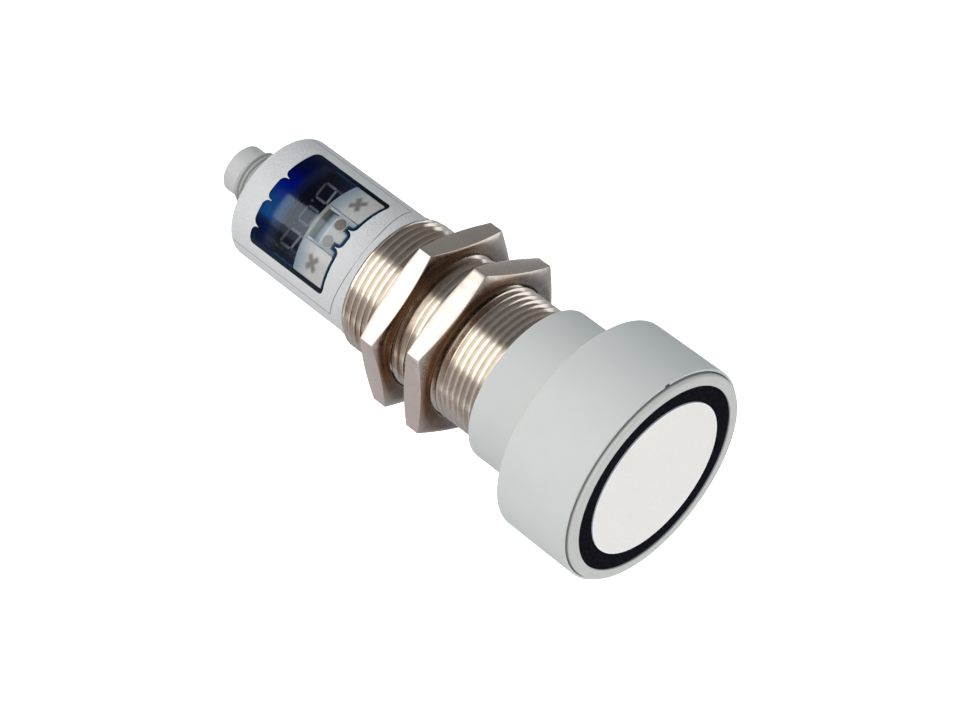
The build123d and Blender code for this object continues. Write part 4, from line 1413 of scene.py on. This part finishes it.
@dataclass
class MountingNut:
    """Hexagon nut with conical corners, countersunk bore and broken edges."""

    node: str
    station: float
    turn: float
    across_flats: float = 36.0
    thickness: float = 5.0
    washer_radius: float = 17.3
    chamfer_degrees: float = 15.0
    bore_radius: float = 14.98
    countersink: float = 0.5
    edge_break: float = 0.14
    broken_from: float = 24.0
    columns_per_flat: int = 24

    def _blank(self) -> Mesh:
        """Build the nut before its edges are broken.

        Returns:
            Closed mesh of the nut.
        """
        half = self.thickness / 2
        slope = math.tan(math.radians(self.chamfer_degrees))
        build = bmesh.new()
        columns = []
        for index in range(6 * self.columns_per_flat):
            angle = 60 * index / self.columns_per_flat
            outer = self.across_flats / 2 / math.cos(math.radians(angle % 60 - 30))
            upper = [
                (half - self.countersink, self.bore_radius),
                (half, self.bore_radius + self.countersink),
                (half, self.washer_radius),
                (half - (outer - self.washer_radius) * slope, outer),
            ]
            lower = [(-along, radius) for along, radius in reversed(upper)]
            turn = math.radians(self.turn + 30 + angle)
            places = [turned(self.station - along, radius, turn) for along, radius in upper + lower]
            columns.append([build.verts.new(place) for place in places])
        skin(build, columns, True)
        return baked(self.node, build)

    def build(self) -> None:
        """Build and dress the nut."""
        blank = add_object(self.node + "_blank", self._blank())
        edges = blank.modifiers.new("edges", "BEVEL")
        edges.width = self.edge_break * MM
        edges.segments = 2
        edges.limit_method = "ANGLE"
        edges.angle_limit = math.radians(self.broken_from)
        name = self.node.replace("mounting", "dressed")
        dressed(name, plain_copy(blank), Finish.NUT, "nickel", self.node)


@dataclass
class DisplayCap:
    """Rear housing with its cover, window, keys and display."""

    strip_along: Span = (78.2, 85.3)
    strip_across: Span = (3.34, 3.96)
    strip_radii: Span = (12.22, 12.5)

    def _strip(self, side: int) -> Mesh:
        """Build the thin milky strip that closes the gap between the plate and a key.

        Args:
            side: 1 for the key on +Y, -1 for the other.

        Returns:
            The strip's mesh.
        """
        (inner, outer), (bottom, top) = self.strip_across, self.strip_radii
        corners = ((bottom, inner), (top, inner), (top, outer), (bottom, outer))
        build = bmesh.new()
        rings = []
        for station in self.strip_along:
            ring = []
            for radius, offset in corners:
                height = math.sqrt(radius**2 - offset**2)
                ring.append(build.verts.new((station_x(station), side * offset * MM, height * MM)))
            rings.append(ring)
        skin(build, rings, False)
        for ring in rings:
            build.faces.new(ring)
        return baked("light_strip", build)

    def build(self) -> None:
        """Dress the cap."""
        coat(Finish.CAP, "rear_housing", "display_cover")
        coat(Finish.WINDOW, "display_window")
        coat(Finish.KEY, "button_1", "button_2")
        coat(Finish.PLATE, "indicator_plate")
        coat(Finish.LENS, "indicator_lens_1", "indicator_lens_2")
        coat(Finish.BARRIER, "light_barrier")
        coat(Finish.DISPLAY, "display_module")
        coat(Finish.SEGMENT, "digit_segments")
        coat(Finish.CLEAR, "indicator_diode_1", "indicator_diode_2")
        coat(Finish.PLUNGER, "switch_plunger_1", "switch_plunger_2")
        coat(Finish.CHIP, "key_switch_1", "key_switch_2")
        coat(Finish.RUBBER, "rear_seal")
        for number, side in ((1, -1), (2, 1)):
            mesh = self._strip(side)
            mesh.materials.append(Finish.STRIP.material)
            piece = add_object("light_strip_%d" % number, mesh)
            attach(piece, SENSOR_BODY)
            log.info("%s: %d faces, beside button_%d", piece.name, len(mesh.polygons), number)


@dataclass
class RoundPlug:
    """Connector shell with its thread, its contact carrier and contacts."""

    seat_radius: float = 6.4
    thread_radius: float = 6.05
    thread_depth: float = 0.55
    pitch: float = 1.0
    thread_front: float = 103.46
    thread_rear: float = 110.76
    chamfer: float = 0.6
    barrel_radius: float = 5.23
    end: float = 114.55
    end_round: float = 0.5
    bore_radius: float = 4.3
    insert_rear: float = 101.0
    flange_front: float = 98.0
    flange_rear: float = 99.7
    flange_radius: float = 8.0
    flange_bore_radius: float = 3.3
    rib_width: float = 1.4
    rib_height: float = 0.7
    rib_front: float = 106.5
    rib_rear: float = 113.55
    columns: int = 96
    rows_per_turn: int = 12

    def _rib(self) -> Mesh:
        """Build the coding rib in the bore.

        Returns:
            The rib.
        """
        bottom = self.bore_radius - self.rib_height
        top = (self.bore_radius + self.barrel_radius) / 2
        middle = (station_x((self.rib_front + self.rib_rear) / 2), 0, (top + bottom) / 2 * MM)
        size = (self.rib_rear - self.rib_front, self.rib_width, top - bottom)
        return block("coding_rib", size, middle)

    def build(self) -> None:
        """Build and dress the plug."""
        cutter = ThreadCutter(
            "plug_thread",
            self.thread_radius,
            self.thread_depth,
            self.pitch,
            self.thread_front,
            self.thread_rear,
            self.chamfer,
            self.columns,
            self.rows_per_turn,
        )
        root = self.thread_radius - self.chamfer
        round_size = self.end_round
        profile = [
            (self.thread_rear, root),
            (self.thread_rear, self.barrel_radius),
            *arc(self.end - round_size, self.barrel_radius - round_size, round_size, 90, 0, 5),
            (self.end, self.bore_radius),
            (self.insert_rear, self.bore_radius),
            (self.insert_rear, self.flange_bore_radius),
            (self.flange_front, self.flange_bore_radius),
            (self.flange_front, self.flange_radius),
            (self.flange_rear, self.flange_radius),
            (self.flange_rear, self.seat_radius),
            (self.thread_front, self.seat_radius),
            (self.thread_front, root),
        ]
        rest = lathe("plug_rest", profile, self.columns, False)
        shell = joined("plug_shell", cutter.surface(Finish.PLUG), rest, gap=WELD_GAP)
        mesh = joined("plug_shell_with_rib", shell, self._rib())
        dressed("plug_shell", mesh, Finish.PLUG, "plug_plastic", "connector_shell")
        coat(Finish.INNER, "connector_insert")
        coat(Finish.RUBBER, "connector_seal")
        coat(Finish.GOLD, *(f"contact_pin_{index}" for index in range(1, 6)))


class Electronics:
    """Boards and what they carry, hidden in the barrel."""

    def build(self) -> None:
        """Dress the electronics."""
        coat(Finish.BOARD, "main_board", "display_board")
        coat(Finish.INNER, "board_header", "board_holder_1", "board_holder_2")
        coat(Finish.CHIP, "pulse_transformer", "microcontroller")
        coat(Finish.CAN, "storage_capacitor")


@dataclass
class Softbox:
    """Rectangular lamp of even brightness that looks at the sensor, with its sizes in metres."""

    name: str
    towards: Triple
    distance: float
    size: Span
    radiance: float
    colour: Colour
    mirrored: bool = True
    watts_per_radiance: float = 4.0

    def build(self) -> None:
        """Hang the lamp."""
        data = bpy.data.lights.new(self.name, "AREA")
        data.shape = "RECTANGLE"
        data.size, data.size_y = self.size
        data.color = self.colour
        data.energy = self.radiance * self.watts_per_radiance * self.size[0] * self.size[1]
        lamp = bpy.data.objects.new(self.name, data)
        lamp.visible_glossy = self.mirrored
        away = Vector(self.towards).normalized()
        long_axis = Vector((0.0, 1.0, 0.0))
        across = (long_axis - away * away.dot(long_axis)).normalized()
        turn = Matrix((across, away.cross(across), away)).transposed().to_4x4()
        lamp.matrix_world = Matrix.Translation(away * self.distance) @ turn
        bpy.context.scene.collection.objects.link(lamp)


@dataclass
class Studio:
    """Pale floor, plain world, soft lamps, dark room for reflections and the camera.

    Sizes of the floor, the room and the cards are in metres, the camera's place and the spans of
    the cards' shades in millimetres, and the spans of the room's shades in shares of its reach.
    """

    floor_height: float = -0.35
    floor_reach: float = 6.0
    floor_glow: float = 0.8
    face_to_camera: Triple = (321.5, -36.5, 701.7)
    forward: Triple = (-0.46245, 0.04348, -0.88558)
    right: Triple = (0.70798, 0.61938, -0.33930)
    up: Triple = (-0.53376, 0.78388, 0.31721)
    lens: float = 153.6
    room_reach: float = 3.0
    room_left: Colour = (0.66, 0.62, 0.62)
    room_right: Colour = (0.29, 0.29, 0.3)
    room_front: Colour = (0.7, 0.69, 0.68)
    room_halo: Colour = (0.85, 0.84, 0.82)
    room_sides: Span = (-0.35, 0.25)
    room_ends: Span = (0.1, 0.8)
    room_near: Span = (0.78, 0.97)
    lamp_towards: Triple = (-0.44, -0.257, 0.862)
    lamp_colour: Colour = (1.0, 0.98, 0.95)
    card_side: float = 0.32
    card_size: Span = (2.6, 1.1)
    card_middle: Span = (-0.3, 0.56)
    card_low: Colour = (0.34, 0.33, 0.33)
    card_centre: Colour = (0.3, 0.29, 0.29)
    card_high: Colour = (0.26, 0.26, 0.28)
    card_heights: tuple[Span, Span] = ((-250.0, -30.0), (20.0, 120.0))
    panel: Colour = (1.6, 1.6, 1.65)
    panel_along: tuple[Span, Span] = ((190.0, 250.0), (560.0, 680.0))
    panel_across: Span = (190.0, 240.0)
    panel_height: Span = (-160.0, -80.0)
    shade_size: Span = (3.2, 2.0)
    shade_middle: float = -0.1
    shade_lift: Span = (0.01, 0.002)
    shade_place: Span = (170.0, 0.0)
    shade_dark: Colour = (0.17, 0.17, 0.18)
    shade_edge: Colour = (0.48, 0.48, 0.5)
    shade_far: Colour = (0.66, 0.6, 0.62)
    shade_spans: tuple[Span, Span] = ((50.0, 190.0), (150.0, 700.0))
    world_light: Colour = (0.395, 0.445, 0.485)

    def _floor(self) -> None:
        """Lay the pale floor, far below the held sensor."""
        recipe = Recipe("floor_white")
        dusty = recipe.blend(recipe.noise(3.0, 2.0), linear(236, 236, 236), linear(242, 242, 242))
        glow = recipe.out("Emission", WHITE, recipe.times(recipe.seen(), self.floor_glow))
        both = recipe.out("AddShader", recipe.out("BsdfDiffuse", dusty), glow)
        size = (2 * self.floor_reach, 2 * self.floor_reach)
        mesh = self._sheet("studio_floor", size, (0.0, 0.0, self.floor_height), steps=8)
        mesh.materials.append(recipe.finish(both))
        add_object("studio_floor", mesh)

    def _sheet(
        self, name: str, size: Span, centre: Triple, tilt: float = 0.0, steps: int = 1
    ) -> Mesh:
        """Make a flat sheet.

        Args:
            name: Name of the mesh.
            size: Its length along X and its other length, in metres.
            centre: Its middle, in metres.
            tilt: Turn about X in degrees.
            steps: Faces along each side.

        Returns:
            The sheet's mesh.
        """
        build = bmesh.new()
        bmesh.ops.create_grid(build, x_segments=steps, y_segments=steps, size=0.5)
        bmesh.ops.scale(build, vec=Vector((*size, 1.0)), verts=build.verts)
        turn = Matrix.Rotation(math.radians(tilt), 3, "X")
        bmesh.ops.rotate(build, matrix=turn, verts=build.verts)
        bmesh.ops.translate(build, vec=Vector(centre), verts=build.verts)
        return baked(name, build, outward=False)

    def _mirrored_only(self, name: str, mesh: Mesh, recipe: Recipe, colour: Socket) -> None:
        """Put up a glowing piece of the studio that only polished surfaces mirror.

        Args:
            name: Name of the piece.
            mesh: Its mesh.
            recipe: Recipe of its material.
            colour: Its brightness and colour.
        """
        mesh.materials.append(recipe.finish(recipe.out("Emission", colour)))
        thing = add_object(name, mesh)
        for kind in ("camera", "diffuse", "transmission", "volume_scatter", "shadow"):
            setattr(thing, "visible_" + kind, False)

    def _room(self) -> None:
        """Put up the grey room, brighter round the main lamp."""
        build = bmesh.new()
        bmesh.ops.create_icosphere(build, subdivisions=4, radius=self.room_reach)
        low = [vert for vert in build.verts if vert.co.z < self.floor_height]
        bmesh.ops.delete(build, geom=low, context="VERTS")
        bmesh.ops.reverse_faces(build, faces=build.faces)
        mesh = baked("studio_room", build, outward=False)
        recipe = Recipe("room_grey")
        reach = self.room_reach / MM
        across, along = (recipe.times(recipe.axis(name), 1 / reach) for name in "YX")
        around = recipe.blend(
            recipe.ramp(across, *self.room_sides), self.room_left, self.room_right
        )
        around = recipe.blend(recipe.ramp(along, *self.room_ends), around, self.room_front)
        lamp = Vector(self.lamp_towards).normalized()
        parts = [recipe.times(recipe.axis(name), share / reach) for name, share in zip("XYZ", lamp)]
        near = reduce(recipe.plus, parts)
        colour = recipe.blend(recipe.ramp(near, *self.room_near), around, self.room_halo)
        self._mirrored_only("studio_room", mesh, recipe, colour)

    def _panel(self, recipe: Recipe, shade: Socket) -> Socket:
        """Add the bright panel that reaches over the side card and the floor card.

        Args:
            recipe: Material recipe to add the pattern to.
            shade: Colour of the card.

        Returns:
            Colour of the card with the panel.
        """
        within = recipe.band(recipe.axis("X"), *self.panel_along)
        within = recipe.times(within, recipe.ramp(recipe.axis("Y"), *self.panel_across))
        within = recipe.times(within, recipe.ramp(recipe.axis("Z"), *self.panel_height, 1.0, 0.0))
        return recipe.blend(within, shade, self.panel)

    def _side_card(self) -> None:
        """Stand a dark card on the right, with a bright panel low in front."""
        along, lift = self.card_middle
        centre = (along, self.card_side, self.floor_height + lift)
        mesh = self._sheet("side_card", self.card_size, centre, 90)
        recipe = Recipe("side_card_grey")
        lower, upper = (recipe.ramp(recipe.axis("Z"), *span) for span in self.card_heights)
        shade = recipe.blend(lower, self.card_low, self.card_centre)
        shade = recipe.blend(upper, shade, self.card_high)
        self._mirrored_only("side_card", mesh, recipe, self._panel(recipe, shade))

    def _floor_card(self) -> None:
        """Lay a card over the floor, dark under the sensor, as its own shade makes a table."""
        gap, lift = self.shade_lift
        side = self.card_side - self.shade_size[1] / 2 - gap
        centre = (self.shade_middle, side, self.floor_height + lift)
        mesh = self._sheet("floor_card", self.shade_size, centre)
        recipe = Recipe("floor_card_grey")
        along = recipe.minus(recipe.axis("X"), self.shade_place[0])
        across = recipe.minus(recipe.axis("Y"), self.shade_place[1])
        far = recipe.length(along, across)
        inner, outer = (recipe.ramp(far, *span) for span in self.shade_spans)
        near = recipe.blend(inner, self.shade_dark, self.shade_edge)
        shade = recipe.blend(outer, near, self.shade_far)
        self._mirrored_only("floor_card", mesh, recipe, self._panel(recipe, shade))

    def _world(self) -> None:
        """Light the scene evenly from all round and keep the background white."""
        world = bpy.data.worlds.new("studio_world")
        world.use_nodes = True
        bpy.context.scene.world = world
        world.node_tree.nodes.clear()
        graph = Graph(world.node_tree)
        colour = graph.blend(graph.seen(), self.world_light, WHITE)
        graph.node("OutputWorld", graph.out("Background", colour))

    def _camera(self) -> None:
        """Set the camera up where the photograph was taken from."""
        data = bpy.data.cameras.new("camera")
        data.sensor_width = 36.0
        data.lens = self.lens
        data.clip_end = 20.0
        camera = bpy.data.objects.new("camera", data)
        axes = (Vector(self.right), Vector(self.up), -Vector(self.forward))
        turn = Matrix(axes).transposed().to_4x4()
        place = Vector((FACE_X, 0, 0)) + Vector(self.face_to_camera)
        camera.matrix_world = Matrix.Translation(place * MM) @ turn
        bpy.context.scene.collection.objects.link(camera)
        bpy.context.scene.camera = camera

    def build(self) -> None:
        """Put up the studio."""
        bpy.context.scene.view_settings.view_transform = "Standard"
        self._floor()
        self._room()
        self._side_card()
        self._floor_card()
        self._world()
        self._camera()
        above, warm = self.lamp_towards, self.lamp_colour
        Softbox("main_softbox", above, 0.9, (0.957, 0.7), 1.12, warm).build()
        Softbox("main_fill", above, 1.1, (1.2, 0.9), 1.02, warm, mirrored=False).build()
        before, cool = (0.97, -0.2, 0.12), (1.0, 0.99, 0.97)
        Softbox("front_softbox", before, 1.2, (0.8, 0.8), 2.3, cool, mirrored=False).build()


def main() -> None:
    """Build every sub-assembly, then the studio."""
    SensorHead().build()
    Barrel().build()
    MountingNut("mounting_nut_front", 47.18, 0.5).build()
    MountingNut("mounting_nut_rear", 58.37, -9.9).build()
    DisplayCap().build()
    RoundPlug().build()
    Electronics().build()
    Studio().build()


if __name__ == "__main__":
    logging.basicConfig(level=logging.INFO, format="%(name)s: %(message)s")
    main()
